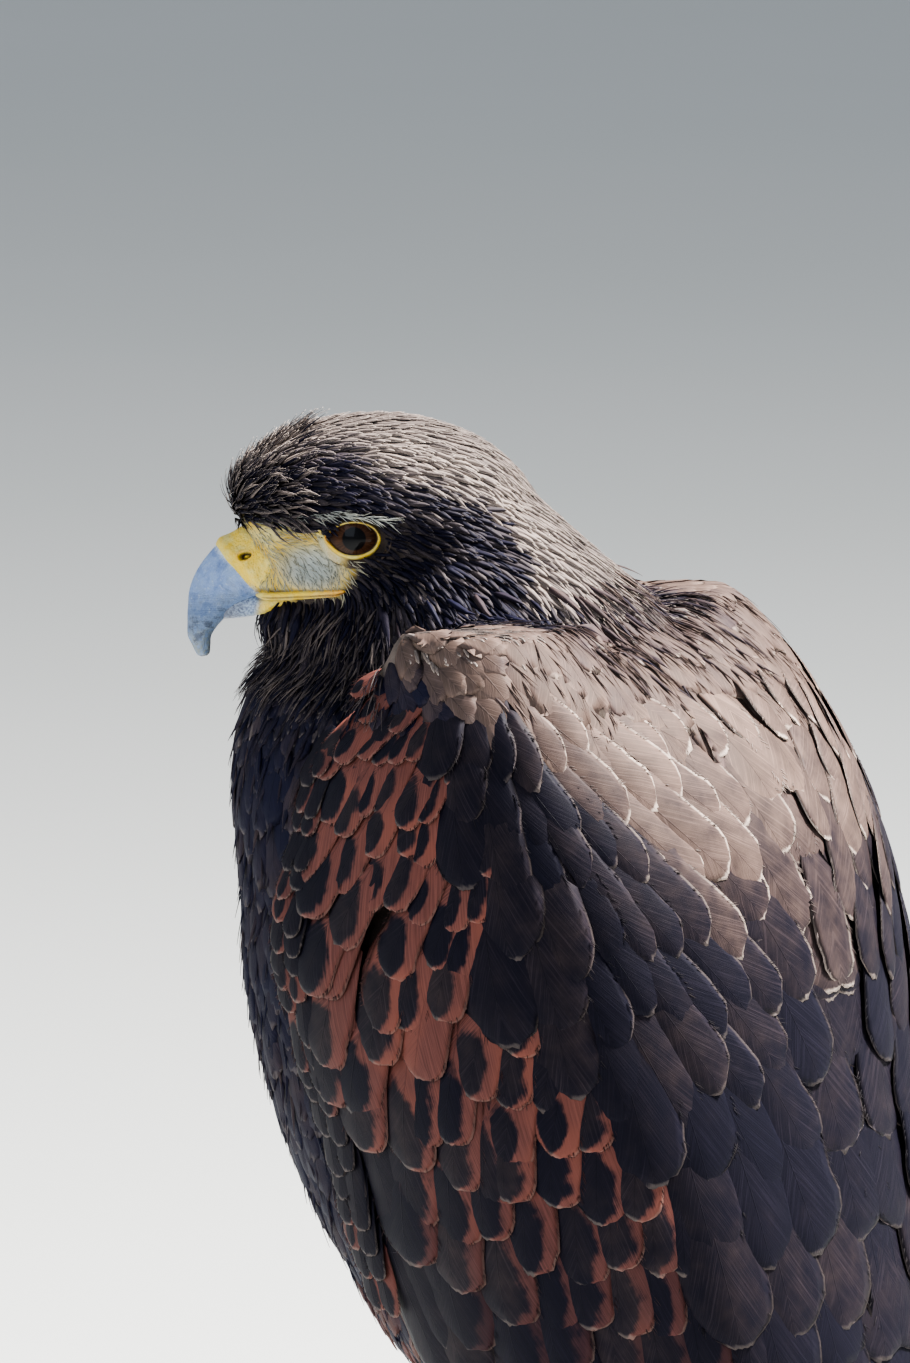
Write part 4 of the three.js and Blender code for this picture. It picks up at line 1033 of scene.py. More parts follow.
# ---- Wings ----
def patch_edge(z):
    """Share across the wing where the rufous coverts end and the dark scapulars begin."""
    return float(np.interp(z, [225, 245, 267, 280, 290, 300, 311, 325, 353, 365, 390, 399, 412, 430],
                           [0.74, 0.7, 0.66, 0.64, 0.61, 0.55, 0.46, 0.41, 0.41, 0.36, 0.32, 0.27, 0.16, 0.1]))


def lit_edge(z):
    """Share across the wing beyond which its feathers are painted pale by sunlight."""
    return np.interp(z, [300, 320, 337, 351, 366, 383, 395, 410, 424],
                     [1.15, 1.0, 0.9, 0.8, 0.73, 0.65, 0.58, 0.40, 0.15])


# A vane's rows, as shares of its length, the points across each face, and the free barbs along its edge
WING_ROWS = np.array([0, 0.16, 0.32, 0.47, 0.60, 0.71, 0.80, 0.87, 0.925, 0.962, 0.986, 1.0])
VANE_COLUMNS, BARBS = 9, 26
HIGHEST_ROOT = 419
COVERT, QUILL, SCAPULAR = 0, 1, 2
vane_list = []


def tucked(lift, fall, more=0.6):
    """The lifts at the root and the tip of a vane that sinks under the next row, fall millimetres up."""
    return lift - 0.062 * fall - more, lift


def add_vane(start, end, half, lifts, roll, marks, kind):
    """A vane from start to end, each a height and a share across, with its lift at both ends."""
    sink = 3.2 * float(ease(402, 418, start[0]))
    vane_list.append((*start, *end, half, lifts[0] - sink, lifts[1], roll, *marks, kind))


def row_of(count, first, last, base, dip, length, half, top, roll, marks, slant, jitter=1.0, shift=0.0):
    """A row of coverts whose tips lie on an arc."""
    pitch = (last - first) / max(count - 1, 1)
    for a in np.linspace(first, last, count):
        a = a + (draw.normal(0, 0.11) * jitter + shift) * pitch
        z = float(base - dip * math.sin(math.pi * min(a, 1))) + draw.normal(0, 1.3) * jitter
        long = length * draw.uniform(0.92, 1.08)
        root = min(z + long, HIGHEST_ROOT)
        lift = top + draw.normal(0, 0.15)
        red, fringe, tone, spot = marks
        if spot not in (0, 1):
            spot = draw.choice([0.0, 0.5, 0.75, 1.0], p=[0.03, 0.15, 0.3, 0.52])
        add_vane((root, a - slant * (root - z) / long), (z, a), half * draw.uniform(0.9, 1.1),
                 tucked(lift, root - z), roll * draw.uniform(0.7, 1.3),
                 (red, fringe, float(np.clip(tone + draw.uniform(-0.06, 0.12), 0, 1)), spot), COVERT)


for i, end in enumerate([150, 124, 108, 99, 98, 108]):  # primaries
    share, level = i / 5, -7.6 + 0.9 * i
    add_vane((292, 0.12 + 0.2 * share), (end, 0.12 + 0.8 * share), 10, (level, level), 0.2, (0, 0.12, 0.08, 0), QUILL)
for i in range(12):  # secondaries
    share = i / 11
    end = mix(146, 160, share) + 7 * math.sin(math.pi * share) + draw.normal(0, 2.2)
    add_vane((296, 0.08 + 0.88 * share), (end, 0.12 + 0.87 * share), 12, (-3.0, -1.6 + 0.4 * (i % 2)), 1.3,
             (0, 0.22, 0.06 + 0.1 * share**2, 0), QUILL)
for i, (z, a) in enumerate([(232, 0.04), (243, 0.07), (254, 0.11), (268, 0.06)]):  # alula and primary coverts
    add_vane((z + 66, a), (z, a + 0.03), 8.5, (-3.6, -0.6 + 0.25 * i), 0.7, (0, 0.2, 0.06, 0), QUILL)
# The rufous share falls down the rows: partly the coverts' own pattern, partly painted shade over the lower rows.
for *row, red, spot, slant, jitter, shift in (  # greater and median coverts
        (8, 0.12, 0.84, 240, 12, 56, 13.5, -0.4, 1.0, 0.0, 0, -0.02, 1.0, 0.0),
        (7, 0.12, 0.66, 254, 14, 50, 13.5, 0.2, 1.0, 0.2, 1, -0.04, 1.2, 0.4),
        (8, 0.09, 0.64, 268, 14, 46, 12, 0.5, 1.0, 0.45, 1, -0.05, 1.3, 0.0),
        (8, 0.07, 0.60, 282, 12, 42, 11.5, 0.7, 0.95, 0.65, 1, -0.06, 1.4, 0.5),
        (8, 0.06, 0.55, 295, 9, 40, 10.5, 1.0, 0.9, 0.8, 1, -0.07, 1.5, 0.1)):
    row_of(*row, (red, 0.12, 0.05, spot), slant, jitter, shift)
for i, z in enumerate([306, 320, 335, 350, 364, 377, 388, 397, 405]):  # lesser coverts
    edge, half = patch_edge(z) + 0.02, mix(9.6, 4.4, i / 8)
    count = max(3, int(edge * float(wing_width(z)) / (1.36 * half)))
    row_of(count, 0.03, edge, z, 5, mix(38, 17, i / 8), half, mix(1.2, 0.2, i / 8), 0.8,
           (mix(0.85, 1, min(1, i / 4)), 0.10, 0.06, 0.5), -0.09, 1.9, 0.5 * (i % 2) - 0.2)
for z in np.linspace(250, 386, 20):  # small feathers along the leading edge
    for a in (-0.03, 0.0):
        add_vane((min(z + 20, 402), a + 0.03), (z + draw.normal(0, 2), a + 0.015), 4.0, (-2.4, 0.2 if a else 1.0), 0.4,
                 (draw.choice([0.0, 0.7]), 0.15, 0.06, draw.choice([0.4, 0.9])), COVERT)
for i, (z, front, rear_half, length, lift) in enumerate((
        (190, 15, 13, 84, 0.4), (209, 16, 14, 76, 0.7), (228, 16, 14, 70, 1.0), (247, 16, 14, 64, 1.2),
        (268, 16.5, 12.5, 62, 1.4), (289, 16, 11, 56, 1.5), (309, 15, 10, 50, 1.6), (328, 14.5, 9.2, 46, 1.6),
        (346, 15, 8.6, 42, 1.5), (363, 13, 8.2, 38, 1.3), (379, 12, 8.0, 32, 1.0), (392, 11, 7.8, 26, 0.5))):
    for a in (0.8, 0.9, 1.0):  # a layer beneath, that closes the gaps where the rows spread
        # These vanes are paler higher up: painted sunlight.
        add_vane((min(z + length, HIGHEST_ROOT), a - 0.02), (z + 4, a), 10.5, (lift - 0.062 * length - 1.0, lift - 1.1),
                 0.6, (0, 0.3, 0.08 + 0.35 * float(ease(330, 400, z)), 0), SCAPULAR)
    first = patch_edge(z) + 0.03
    a = first - 0.03 * (i % 2)
    while a < 1.01:
        half = mix(front, rear_half, float(ease(0.02, 0.3, a - first))) * draw.uniform(0.9, 1.12)
        # lit is painted sunlight: past lit_edge the scapulars get a paler tone, rising with height, and stronger pale
        # fringes.
        lit = float(ease(-0.09, 0.12, a - lit_edge(z)))
        tip = z + 9 * a - 3 + draw.normal(0, 3.2)
        slant = mix(0.02, 0.2, float(ease(0.0, 0.35, a - first))) * float(ease(240, 300, z) * ease(1.02, 0.86, a))
        root = min(tip + length * draw.uniform(0.95, 1.05), HIGHEST_ROOT)
        high = lift + draw.normal(0, 0.2)
        roll = 1.1 * draw.uniform(0.5, 1.6)
        tone = mix(0.04, mix(0.10, 0.68, float(ease(300, 396, z))), lit) + draw.uniform(-0.04, 0.1) * mix(1, 2.6, lit)
        add_vane((root, a - slant * (root - tip) / length), (tip, a), half, tucked(high, root - tip), roll,
                 (0, mix(0.08, 0.7, lit), float(np.clip(tone, 0, 1)), 0), SCAPULAR)
        a += 1.16 * half / float(wing_width(z))


def sheet_parts(spread, count, start, rag):
    """Across and face of a vane's ring, and each point's share of the length, ragged from start on to the tip."""
    u, face = lens(VANE_COLUMNS)
    late = ease(start, 1, WING_ROWS)[:, None]
    uneven = both_faces(spread.normal(0, 1, (count, len(WING_ROWS), VANE_COLUMNS)) * late * rag)
    return u, face, WING_ROWS[:, None] + uneven - 0.012 * u**2 * late


def shaft_height(u, face):
    return np.exp(-(u / 0.09) ** 2) * (face > 0)


def cells(order, across):
    """The corner of each vane's cell in the bake map, and what turns a vane map into the bake map."""
    corner = (stack(order % across, order // across) / across)[:, None, None]
    return corner, lambda vane: corner + (0.1 + (vane + [1, 0]) * [0.4, 0.8]) / across


def wing(side, word):
    *places, red, fringe, tone, spot, kind = np.array(vane_list).T
    z0, a0, z1, a1, half, low, high, roll = places
    count, share = len(kind), WING_ROWS
    length = np.hypot(z1 - z0, (a1 - a0) * wing_width(z1))
    roots = np.choose(kind.astype(int), [0.5, 0.6, 0.45])
    rounded = np.stack([round_tip(share, 1 - min(0.42, q), w, 0.26, 2.5) for q, w in zip(half / length * 1.08, roots)])
    width = half[:, None] * rounded
    spread = np.random.default_rng(31)
    phase = spread.uniform(0, 6.3, count)

    def lie(n, part, left, u, above):
        """Points on the vanes numbered n, at a share of their length, millimetres left of the shaft and above it."""
        z, a = mix(z0[n], z1[n], part), mix(a0[n], a1[n], part)
        span = wing_width(z)
        way = unit(stack(z1[n] - z0[n], (a1 - a0)[n] * span))
        lift = mix(low[n], high[n], np.clip(part, 0, 1.1) ** 0.6) + roll[n] * u
        curl = 0.22 * np.sin(phase[n] + 5 * part + 1.5 * u) * (kind[n] != QUILL)
        point = wing_point(z + way[..., 1] * left, a - way[..., 0] * left / span, lift + curl + above)
        return point * [side, 1, 1]

    # The tip's edge is uneven, and here and there the barbs part
    u, face, part = sheet_parts(spread, count, 0.6, 0.005)
    notch = 1 - 0.07 * (spread.random((count, len(share), 1)) > 0.9) * ease(0.3, 0.7, share)[:, None]
    left = width[..., None] * u * notch
    crown = 0.085 * width[..., None] * (1 - 1.3 * u**2) * ease(0.1, 0.6, share)[:, None]
    thick = 0.30 * (1 - 0.5 * share)[:, None] * (face * (1 - u**2))
    each = np.arange(count)[:, None, None]
    point = lie(each, part, left, u * rounded[..., None], crown + thick + 0.14 * shaft_height(u, face))
    across = int(np.ceil(np.sqrt(count)))
    corner, bake = cells(np.argsort(np.argsort(-z1 * 1000 - a1)), across)
    # Paler towards the wing's back edge in its upper rows: painted sunlight.
    tone = np.clip(tone + 0.3 * ease(0.93, 1.02, a1) * ease(320, 390, z1), 0, 1)
    vane_piece("wing_feathers_" + word, point, (u, share[:, None]), (left, (share * length[:, None])[..., None]), bake,
               stack(red, fringe, tone, spot)[:, None, None], wing_look, "wings", ("wing_" + word,))

    # Fine barbs that stand free along each vane's edge and tip
    n = np.repeat(np.flatnonzero(kind != QUILL), BARBS)
    t = spread.uniform(-1, 1, len(n))
    start = np.clip(1.0 - 0.42 * np.abs(t) ** 1.6, 0, 0.985)
    outline = np.array([np.interp(q, share, w) for q, w in zip(start, width[n])])
    out = np.where(np.abs(t) < 0.25, t / 0.25, np.sign(t)) * outline * 0.93
    angle = 0.62 * np.clip(np.abs(t) * 2.2, 0, 1) * np.sign(t) + spread.normal(0, 0.12, len(n))
    reach = spread.uniform(1.2, 2.6, len(n)) * np.clip(half[n] / 11, 0.6, 1.2)
    start, out, angle, reach, far, wide, n1 = (
        v[:, None, None] for v in (start, out, angle, reach, length[n], half[n], n))
    step, thin = np.array([[0], [0.55], [1.0]]), 0.13 * np.array([[1.0], [0.8], [0.25]])
    part = start - 0.03 + reach * np.cos(angle) / far * step
    left = out + reach * np.sin(angle) * step + thin * [-1, 0, 1, 0]
    above = 0.1 + 0.6 * thin * [0, 1, 0, -1] + 0.25 * step * spread.random((len(n), 1, 1))
    point = lie(n1, part, left, out / wide, above)
    # The barbs take their vane's tone, painted sunlight included.
    vane_piece("wing_barbs_" + word, point, (0.2, 0.9), (0.4, 1.8),
               lambda vane: corner[n] + 0.92 / across + 0.002 * vane,
               stack(0.3 * red[n], 0.9, tone[n], 0)[:, None, None], barb_look, "wings")


wing(1, "left")
wing(-1, "right")

# ---- Tail ----
specs = []
for i in range(12):
    out, pair = (i / 11) * 2 - 1, abs(i - 5.5) - 0.5
    level = 2 * pair + (out < 0) if pair < 2 else pair + 2
    specs.append((0, TAIL_LENGTH * (1 - 0.03 * out * out), out * TAIL_HALF[0], out * TAIL_HALF[1], 11.5,
                  6 - level * 0.7, 6 - level * 0.7, 0, 1))
# Coverts, under and over the long feathers
for count, reach, length, low, high in ((5, 15, 92, -6, -5.0), (4, 9, 66, -6, -8.6), (6, 13, 76, 4, 8.6),
                                        (4, 9, 52, 5, 9.6)):
    for out in np.linspace(-1, 1, count):
        specs.append((4, length * draw.uniform(0.92, 1.06), out * reach, out * reach, 8.5, low, high, 0.9, 0))
start, length, x0, x1, half, low, high, roll, long = np.array(specs, float).T[..., None, None]
share = WING_ROWS[:, None]
width = half * np.where(long > 0, round_tip(share, 0.88, 0.6, 0.25), round_tip(share, 0.5, 0.5, 0.12))
u, face, part = sheet_parts(np.random.default_rng(41), len(specs), 0.7, 0.0015)
lift = mix(low, high, share**0.6) + roll * u + 0.28 * (face * (1 - u**2)) + 0.04 * width * (1 - 1.3 * u**2)
point = tail_point(start + part * length, mix(x0, x1, np.clip(part, 0, 1) ** 0.8) + width * u,
                   lift + 0.2 * shaft_height(u, face))
# White at the root and tip of each long feather, and over the coverts: the fringe mark is read as white here
white = np.where(long > 0, np.maximum(ease(0.30, 0.24, part), ease(0.925, 0.945, part)), ease(1.1, 0.2, part))
vane_piece("tail_feathers", point, (u, share), (width * u, share * length), cells(np.arange(len(specs)), 6)[1],
           stack(0, white, 0.3, 0), tail_look, "tail", ("tail",))


# ---- Bill and cere ----
def bill_form(table, grow, rings, sides, keel):
    (f, z, slope, tall, half), _ = numbered(table, rings)
    f, z, slope, tall, half = (v[:, None] for v in (f, z, np.radians(slope), tall + grow, half + grow))
    turn = circle(sides)
    up, narrowed = np.cos(turn) * tall, 1 - keel * np.maximum(0, np.cos(turn))
    return closed(head_place(f + up * np.sin(slope), np.sin(turn) * half * narrowed, z + up * np.cos(slope)))


CUT_AT, CUT_WAY = (66.2, 437.6), (math.cos(math.radians(-40)), math.sin(math.radians(-40)))


def cut_side(f, s, z):
    """Millimetres in front of the slanting line between cere and horn."""
    bow = 1.1 * np.cos(np.abs(s) * 0.22) - 0.6
    return (f - CUT_AT[0]) * CUT_WAY[0] + (z - CUT_AT[1]) * CUT_WAY[1] - bow


def parted(points, faces, side, gap):
    """The closed part of a body in front of that line (side 1) or behind it (-1), cut flat and filled."""
    shape = bmesh.new()
    verts = [shape.verts.new(p) for p in points.tolist()]
    for f in faces.tolist():
        shape.faces.new([verts[k] for k in f])
    way = Vector((CUT_WAY[0] * HEAD_SIN, -CUT_WAY[0] * HEAD_COS, CUT_WAY[1])) * side
    at = Vector(head_place(CUT_AT[0], 0, CUT_AT[1]).tolist()) + way * gap
    geometry = shape.verts[:] + shape.edges[:] + shape.faces[:]
    cut = bmesh.ops.bisect_plane(shape, geom=geometry, plane_co=at, plane_no=way, clear_inner=True)
    edges = [e for e in cut["geom_cut"] if isinstance(e, bmesh.types.BMEdge)]
    bmesh.ops.holes_fill(shape, edges=edges, sides=0)
    bmesh.ops.triangulate(shape, faces=shape.faces[:])
    shape.verts.index_update()
    p = np.array([v.co for v in shape.verts])
    t = np.array([[v.index for v in f.verts] for f in shape.faces])
    shape.free()
    return p, outward(p, t)


points, faces = parted(*bill_form(BILL, 0, 120, 80, 0.35), 1, -0.6)
f, s, z = head_parts(points)
# The cutting edge dips in a shallow tooth, and the surface is slightly uneven, more so towards the hook
lip = ease(434, 428, z) * ease(73, 66, f)
points = head_place(f, s * (1 - 0.06 * ease(0, 5, z - 436)),
                    z - 0.5 * lip * np.sin(np.clip((f - 60) / 13, 0, 1) * np.pi * 2))
bend, rough_low = np.arctan2(z - 425, f - 60), ease(432, 420, z)
uneven = (0.08 + 0.10 * rough_low) * wobble(points, 4, 3) + 0.10 * rough_low * wobble(stack(s, bend * 4, 0), 1.4, 4)
points += uneven[:, None] * unit(points - head_place(66, 0, 432))
make("bill_upper", points, faces, horn_look, "bill", ("beak_upper",),
     {"grain": stack(s + 0.8 * f * rough_low, bend * 12)},
     stack(0.85 * ease(426, 417, z), 0.15 + 0.85 * ease(438, 420, z),
           0.8 * ease(1.6, 0.1, cut_side(*head_parts(points))), 1))

points, faces = parted(*bill_form(BILL, 0.25, 200, 220, 0.30), -1, -0.35)
f, s, z = head_parts(points)
front, flank = cut_side(f, s, z), ease(2.5, 4, np.abs(s))
swell = 0.55 * bell(front, -1.6, 1.6) * ease(430, 435, z)
# The nostril: a slanting oval hole, wider in front, with a pale peg in its middle
ahead, up = f - 64.3, z - 441.6
ahead, up = ahead * 0.96 - up * 0.28, up * 0.96 + ahead * 0.28
oval = np.hypot(ahead / 1.75, up / (1.0 + 0.12 * ahead))
pit = ease(1.05, 0.72, oval) * flank
rim = bell(oval, 1.25, 0.22) * flank
peg = np.exp(-((ahead + 0.1) / 0.75) ** 2 - ((up + 0.05) / 0.42) ** 2) * flank
folds = 0.14 * np.sin(f * 2.6 + z * 0.9 + 1.5 * wobble(points, 5, 7)) * ease(64, 58, f)
sunk = 1.4 * ease(58.5, 52, f)
height = swell - 1.7 * pit + 0.22 * rim + 1.25 * peg + folds + 0.12 * wobble(points, 3.2, 5) - sunk
# The first mark darkens the nostril's hole round its pale peg: painted shade in the hole.
make("cere", points + vertex_normals(points, faces) * height[:, None], faces, cere_look, "cere", ("cere",), None,
     stack(np.clip(pit * 1.25 - peg * 1.5, 0, 1), 0.25 * rim, 0.9 * ease(-0.7, 0.1, front) * ease(436, 430, z), 1))

points, faces = bill_form(LOWER_BILL, 0, 60, 48, -0.15)
f, s, z = head_parts(points)
make("bill_lower", points + stack(0, 0, -0.5 * ease(50, 68, f) * (z < 428)), faces, cere_look, "bill", ("beak_lower",),
     None, stack(0.5 * ease(62, 70, f), 0, 0.95 * ease(59.5, 62.5, f + 0.3 * (z - 427)), 1))

GAPE = [[61.3, 6.0, 431.2], [60, 8.2, 431.3], [58, 9.6, 431.3], [55, 10.7, 431.5], [52, 11.8, 431.8],
        [49, 13.2, 432.1], [46, 15.0, 432.5], [43, 16.9, 432.9], [40.5, 18.7, 433.3], [38.2, 20.4, 433.9]]


def gape(side):
    """The fleshy edge of the mouth, with the slit between its lips."""
    (f, s, z), keys = numbered(GAPE, 48)
    radii = np.interp(keys, [0, 1.5, 5, 8, 9], [0.45, 1.15, 1.3, 1.05, 0.45])
    points, faces = sweep(head_place(f, side * s, z), radii, 20, 0.85)
    middle = np.interp(head_parts(points)[0], f[::-1], z[::-1])
    f, s, z = head_parts(points)
    groove = bell(z - middle, -0.35, 0.3) * ease(62, 58, f)
    points = points - unit(points - head_place(f, s * 0.75, z)) * (0.35 * groove)[:, None]
    # The groove's first mark darkens the slit between the lips: painted shade.
    return points, faces, stack(0.85 * groove, ease(50, 38, f) * 0.6, 0, 1)


def both_sides(name, form):
    points, faces, mark = gather([form(side) for side in (1, -1)])
    make(name, points, faces, cere_look, "cere", (), None, mark)


both_sides("gape", gape)


# ---- Eyes and lids ----
def eye(side, word):
    """An eyeball with a slightly bulging front. The iris map gives the turn round its axis and the distance from it."""
    polar, turn = np.linspace(0.004, np.pi - 0.01, 64)[:, None], circle(72)
    radius = EYE_RADIUS + 0.02 + 0.3 * bell(polar, 0, 0.42)
    out, ring = radius * np.cos(polar), radius * np.sin(polar)
    points, faces = closed(head_place(EYE_AT[0] + ring * np.cos(turn), side * (EYE_AT[1] + out),
                                      EYE_AT[2] + ring * np.sin(turn)))
    iris = stack(np.abs(turn / np.pi - 1), np.where(polar > 1.4, 1.5, ring / 6.9))
    make(f"eye_{word}_ball", points, faces, eye_look, "eyes", ("eye_" + word,), {"iris": iris})


def head_out(f, z):
    """How far out the head's side lies at a place forward and a height."""
    top, bottom, half = along(HEAD, np.ravel(f)).T
    up = (np.ravel(z) - (top + bottom) / 2) / ((top - bottom) / 2)
    return (half * np.sqrt(np.maximum(1 - up * up, 0.05))).reshape(np.shape(f))


def lids(side):
    """The eye's rim: an almond of bare yellow skin with a sharp orange corner in front, ending under the feathers."""
    turn = circle(120)
    cos, sin = np.cos(turn), np.sin(turn)
    grow = np.array([-0.7, -0.1, 0.2, 0.5, 0.8, 1.05, 1.4, 2.0, 2.8, 3.6, 4.2])[:, None]
    radius = np.array([8.7, 9.25, 9.62, 9.8, 9.78, 9.6, 9.5, 9.6, 9.7, 9.7, 9.7])[:, None]
    front = np.clip(cos, 0, 1) ** 8
    f = (6.15 + grow) * cos + 1.2 * front * np.clip(1 - grow / 3, 0, 1)
    h = (4.3 + grow * 0.95) * sin * (1 - 0.22 * front)
    h = np.where(h > 0, h * 0.95, h * 1.02)
    reach = np.hypot(f, h)
    out = EYE_AT[1] + np.sqrt(np.maximum(radius**2 - np.minimum(reach, radius - 1.2) ** 2, 1))
    place = lambda out, rows=slice(None): head_place(EYE_AT[0] + f[rows], side * out[rows], EYE_AT[2] + h[rows])
    surface = head_out(EYE_AT[0] + f, EYE_AT[2] + h) - 1.2
    surface = np.minimum(surface, np.abs(head_parts(face_cut(place(surface), LORES))[1]) + 0.6)
    over_ball = EYE_AT[1] + np.sqrt(np.maximum((EYE_RADIUS + 0.3) ** 2 - reach**2, 0))
    over_ball = np.where((grow > 1) & (reach < EYE_RADIUS + 0.25), over_ball, 0)
    out = np.maximum(mix(out, surface, ease(1.2, 3.4, grow)), over_ball) - np.where(grow > 4, 2.5, 0)
    back = slice(None, None, -1)
    points, faces = closed(np.concatenate([place(out), place(out - 1.2, back)]), True)
    level = np.concatenate([grow, grow[back]])
    dark = np.maximum(ease(0.9, 1.2, level), ease(0.05, -0.05, level)) * (1 - 0.5 * front)
    # The upper lid is darkened here: painted shade under the brow.
    dark = np.maximum(dark, 0.93 * ease(-0.05, 0.35, sin) * ease(0.15, 0.45, level))
    lore_side = ease(0.3, 0.72, cos - 0.2 * sin) * ease(0.75, 0.35, sin)
    dark = dark * (1 - 0.95 * lore_side * ease(0.85, 1.2, level)) + 0.35 * lore_side * bell(level, 1.0, 0.16)
    horny = 0.45 * lore_side * ease(1.0, 1.5, level) * ease(0.25, -0.2, sin)
    return points, faces, stack(np.clip(dark, 0, 1), 0.8 * front * ease(1.0, 0.3, level), horny, 1).reshape(-1, 4)


eye(1, "left")
eye(-1, "right")
both_sides("eyelids", lids)


# ---- Legs, feet and claws ----
def scuted(path, radii, sides, pitch, depth, face, up):
    """A leg or toe with broad overlapping scutes on the side where face is 1, and how dark its grooves are."""
    run = np.concatenate([[0], np.cumsum(np.linalg.norm(np.diff(path, axis=0), axis=1))])
    saw = ((run / pitch) % 1)[:, None]
    step = ease(0, 0.16, saw) * (1 - 0.35 * saw)
    points, faces = sweep(path, radii, sides, 1.0, up, 1 + (depth / radii)[:, None] * ((step - 0.55) * face))
    groove = ((1 - ease(0, 0.2, saw)) + ease(0.93, 1.0, saw)) * face
    return points, faces, np.clip(groove, 0, 1).ravel()


def over_perch(run, side, spread, off):
    """A path over the branch from the foot's middle, run millimetres on and off millimetres above the bark."""
    angle, reach = run / (PERCH_RADIUS + 5), PERCH_RADIUS + off
    return stack(side * (TARSUS_X - spread * np.abs(run)), PERCH_Y - np.sin(angle) * reach,
                 PERCH_AXIS + np.cos(angle) * reach)


for side, word in ((1, "left"), (-1, "right")):
    share = np.linspace(0, 1, 150)
    top, ankle = np.array([side * TARSUS_X, 16, 222]), np.array([side * TARSUS_X, PERCH_Y - 1, PERCH_TOP + 5])
    path = mix(top, ankle, share[:, None])
    radii = np.interp(share, [0, 0.25, 0.5, 0.75, 1], [5, 4.7, 4.5, 4.7, 5.8])
    claws, bodies = [], [scuted(path, radii, 36, 4.3, 0.45, ease(0.1, 0.6, side * np.cos(circle(36))), (side, 0, 0))]
    for k, (length, spread, thick, claw) in enumerate(TOES):
        # A toe with pads, kept out of the bark, and then its claw
        s = np.linspace(0, 1, 120)
        radius = thick * mix(1, 0.66, s) * (1 + (0.06 * np.cos(s * 19) + 0.05 * np.cos(s * 9.5 + 1)))
        face = ease(0.0, 0.7, math.copysign(side, length * side) * np.cos(circle(28)))
        p, faces, groove = scuted(over_perch(length * s, side, spread, radius + 0.3), radius, 28, 2.7, 0.4, face,
                                  (side, 0, 0))
        depth = np.hypot(p[:, 1] - PERCH_Y, p[:, 2] - PERCH_AXIS) - PERCH_RADIUS
        lifted = (np.maximum(0.25 - depth, 0) / np.maximum(depth + PERCH_RADIUS, 1))[:, None]
        bodies.append((p + lifted * (p - [0, PERCH_Y, PERCH_AXIS]) * [0, 1, 1], faces, groove))
        s = np.linspace(-0.10, 1, 60)
        radius = thick * 0.6 * (1 - np.clip(s, 0, 1)) ** 0.8 + 0.3
        radius = radius * (1 - 0.5 * np.clip(-s / 0.1, 0, 1) ** 3)
        arch = 2.2 * np.sin(np.pi * np.clip(s, 0, 1))
        path = over_perch(length + math.copysign(0.6, length) + claw * s, side, spread, radius + 0.4 + arch)
        claws.append((f"claw_{word}_{k + 1}", *sweep(path, radius, 24, 1.0, (side, 0, 0))))
    middle = [side * TARSUS_X, PERCH_Y, PERCH_TOP + 6.5]  # of the palm
    p, faces = ellipsoid(middle, (8.8, 9.8, 6.0), sides=48)
    bodies.append((p + 0.25 * unit(p - middle) * wobble(p, 2.5, 9)[:, None], faces, np.zeros(len(p))))
    points, faces, dark = gather(bodies)
    make("foot_skin_" + word, points, faces, leg_look, "legs", ("shank_" + word, "foot_" + word), None,
         stack(dark, 0, 0, 1))
    for name, points, faces in claws:
        make(name + "_horn", points, faces, claw_look, "claws", (name,))

# ---- Stand ----
# The branch: thicker towards its ends, with ridged bark, a knot and sawn ends with shallow rings
x, t = np.meshgrid(np.linspace(-PERCH_HALF_LENGTH, PERCH_HALF_LENGTH, 220), circle(112), indexing="ij")
radius = PERCH_RADIUS + 1.6 * (np.maximum(0, np.abs(x) - 66) / 26) * (1 + 0.5 * np.sin(2 * t + x * 0.05))
place = stack(x * 0.35, np.cos(t) * 20, np.sin(t) * 20)
ridges = np.abs(wobble(place * [0.6, 1, 1], 3.0, 52))
radius = radius - 0.9 * (0.5 + 0.5 * wobble(place, 4.5, 51)) * (0.35 + 0.65 * (ridges < 0.35)) - 0.5 * ridges
knot = np.exp(-(((x - 4) / 7) ** 2 + (np.angle(np.exp(1j * (t + 0.6))) / 0.35) ** 2))
radius = radius + np.where(np.abs(x) < 14, 1.2 * knot, 0)
radius = radius - 0.9 * (1 - ease(PERCH_HALF_LENGTH, PERCH_HALF_LENGTH - 1.2, np.abs(x)))
tube = stack(x, PERCH_Y + np.cos(t) * radius, PERCH_AXIS + np.sin(t) * radius)
caps = []
for k, out in ((0, -1), (-1, 1)):
    middle = np.array([tube[k, 0, 0], PERCH_Y, PERCH_AXIS])
    caps.append([mix(middle, tube[k], q) + np.array([1, 0, 0]) * (0.25 * np.sin(q * 30)) * out * (q < 0.95)
                 for q in (0.02, 0.2, 0.4, 0.6, 0.8, 0.93)])
points = np.concatenate([caps[0], tube, caps[1][::-1]])
sawn = np.ones(len(points))
sawn[len(caps[0]):-len(caps[1])] = 0
from_axis = np.hypot(points[..., 1] - PERCH_Y, points[..., 2] - PERCH_AXIS) / 20
make("perch_wood", *closed(points), bark_look, "branch", ("stand_perch",), None, stack(sawn[:, None], from_axis, 0, 1))

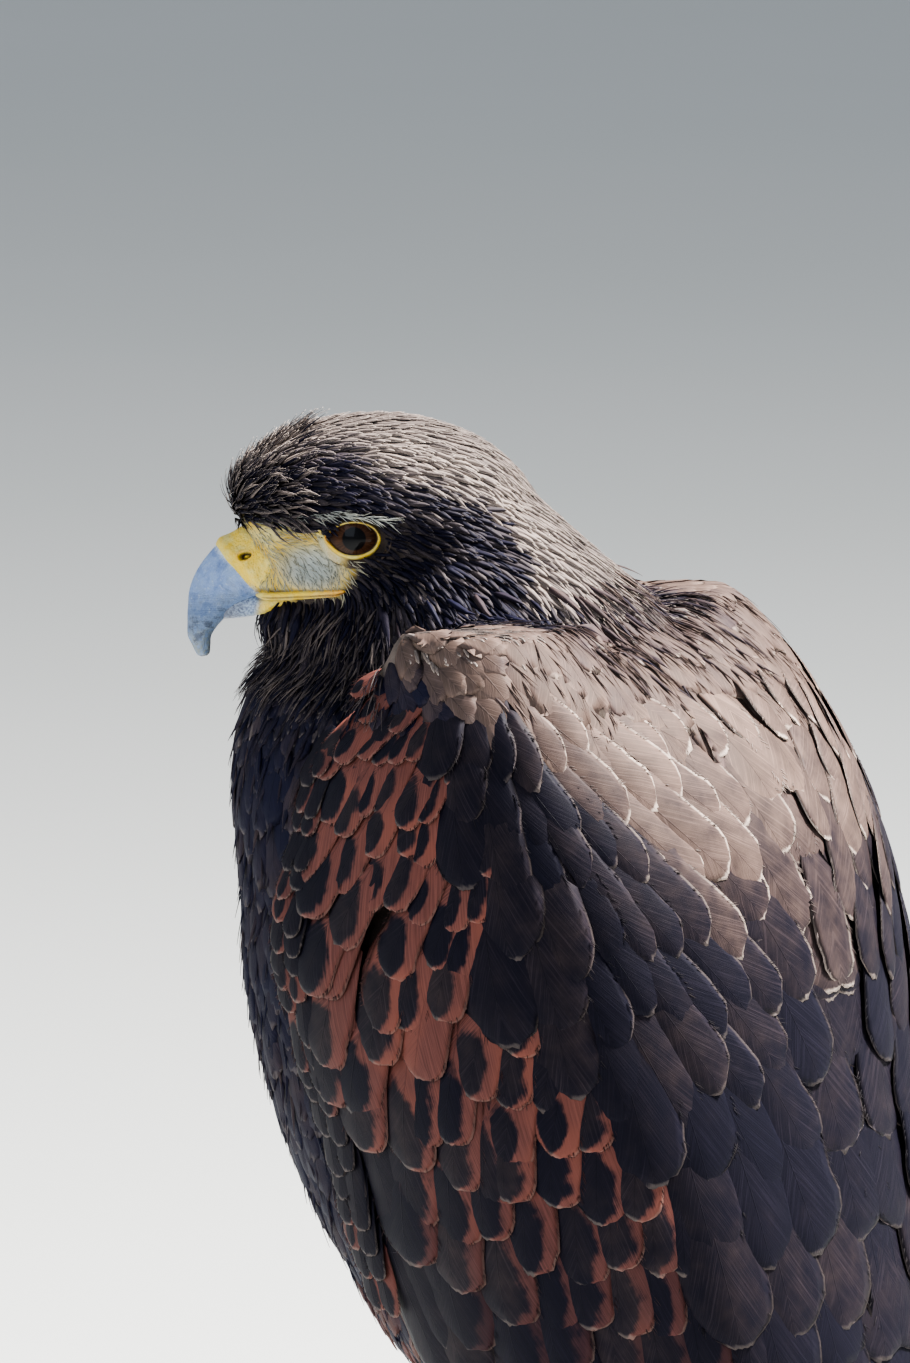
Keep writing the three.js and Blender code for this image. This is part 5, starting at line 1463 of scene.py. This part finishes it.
# Two round rods from the branch down to collars on the base
top, foot = PERCH_TOP - 2 * PERCH_RADIUS + 1.5, BASE_THICK + 0.3
levels = [foot, foot + 0.2, foot + 3.0, foot + 3.6, foot + 3.9, foot + 4.4, foot + 10, foot + 40, top - 8, top]
radii = [10.2, 10.8, 10.8, 10.4, 8.6, 6.2, 6.0, 6.0, 6.0, 6.0]
rods = [sweep(stack(side * ROD_X, PERCH_Y, levels), radii, 64, 1.0, (0, 1, 0)) for side in (1, -1)]
make("rods", *gather(rods), steel_look, "rods", ("stand_rod_left", "stand_rod_right"))
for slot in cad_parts["stand_base"].material_slots:
    slot.material = base_look

# ---- Floor and light ----
look = Look("floor", Roughness=0.9, Specular_IOR_Level=0.2)
x, y, _ = look.parts()
near = look.blend((0.62, 0.64, 0.62), (0.66, 0.67, 0.66), look.noise(1.5, 2))
# Paler far away, so that no hard horizon shows
floor_look = look.done(look.blend(near, (0.96, 0.96, 0.95), look.length(x, y).step(4.0, 24.0)))
mesh = bpy.data.meshes.new("floor")
mesh.from_pydata([(-40, -40, -0.0005), (40, -40, -0.0005), (40, 40, -0.0005), (-40, 40, -0.0005)], [], [(0, 1, 2, 3)])
mesh.materials.append(floor_look)
add("floor", mesh)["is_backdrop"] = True

world = bpy.data.worlds.new("studio")
bpy.context.scene.world = world
bpy.context.scene.view_settings.look = "AgX - Medium High Contrast"
world.use_nodes = True
sky = world.node_tree.nodes["Background"]
sky.inputs["Color"].default_value = (0.72, 0.78, 0.86, 1)
sky.inputs["Strength"].default_value = 0.55

for name, azimuth, elevation, distance, size, power, colour in (
        ("key", 224, 56, 2.2, 0.4, 330, (1.0, 0.96, 0.92)),
        ("fill", 100, 25, 2.4, 1.6, 18, (0.78, 0.86, 1.0)),
        ("front", 25, 30, 2.6, 1.4, 16, (0.84, 0.91, 1.0))):
    light = bpy.data.lights.new(name, "AREA")
    light.size, light.energy, light.color = size, power, colour
    way = bearing(azimuth, elevation)
    add(name, light, metres([0, 0, 330]) + way * distance, way).visible_camera = False

[[list(map(float, corner)) for corner in box] for box in (cad_box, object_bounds())]
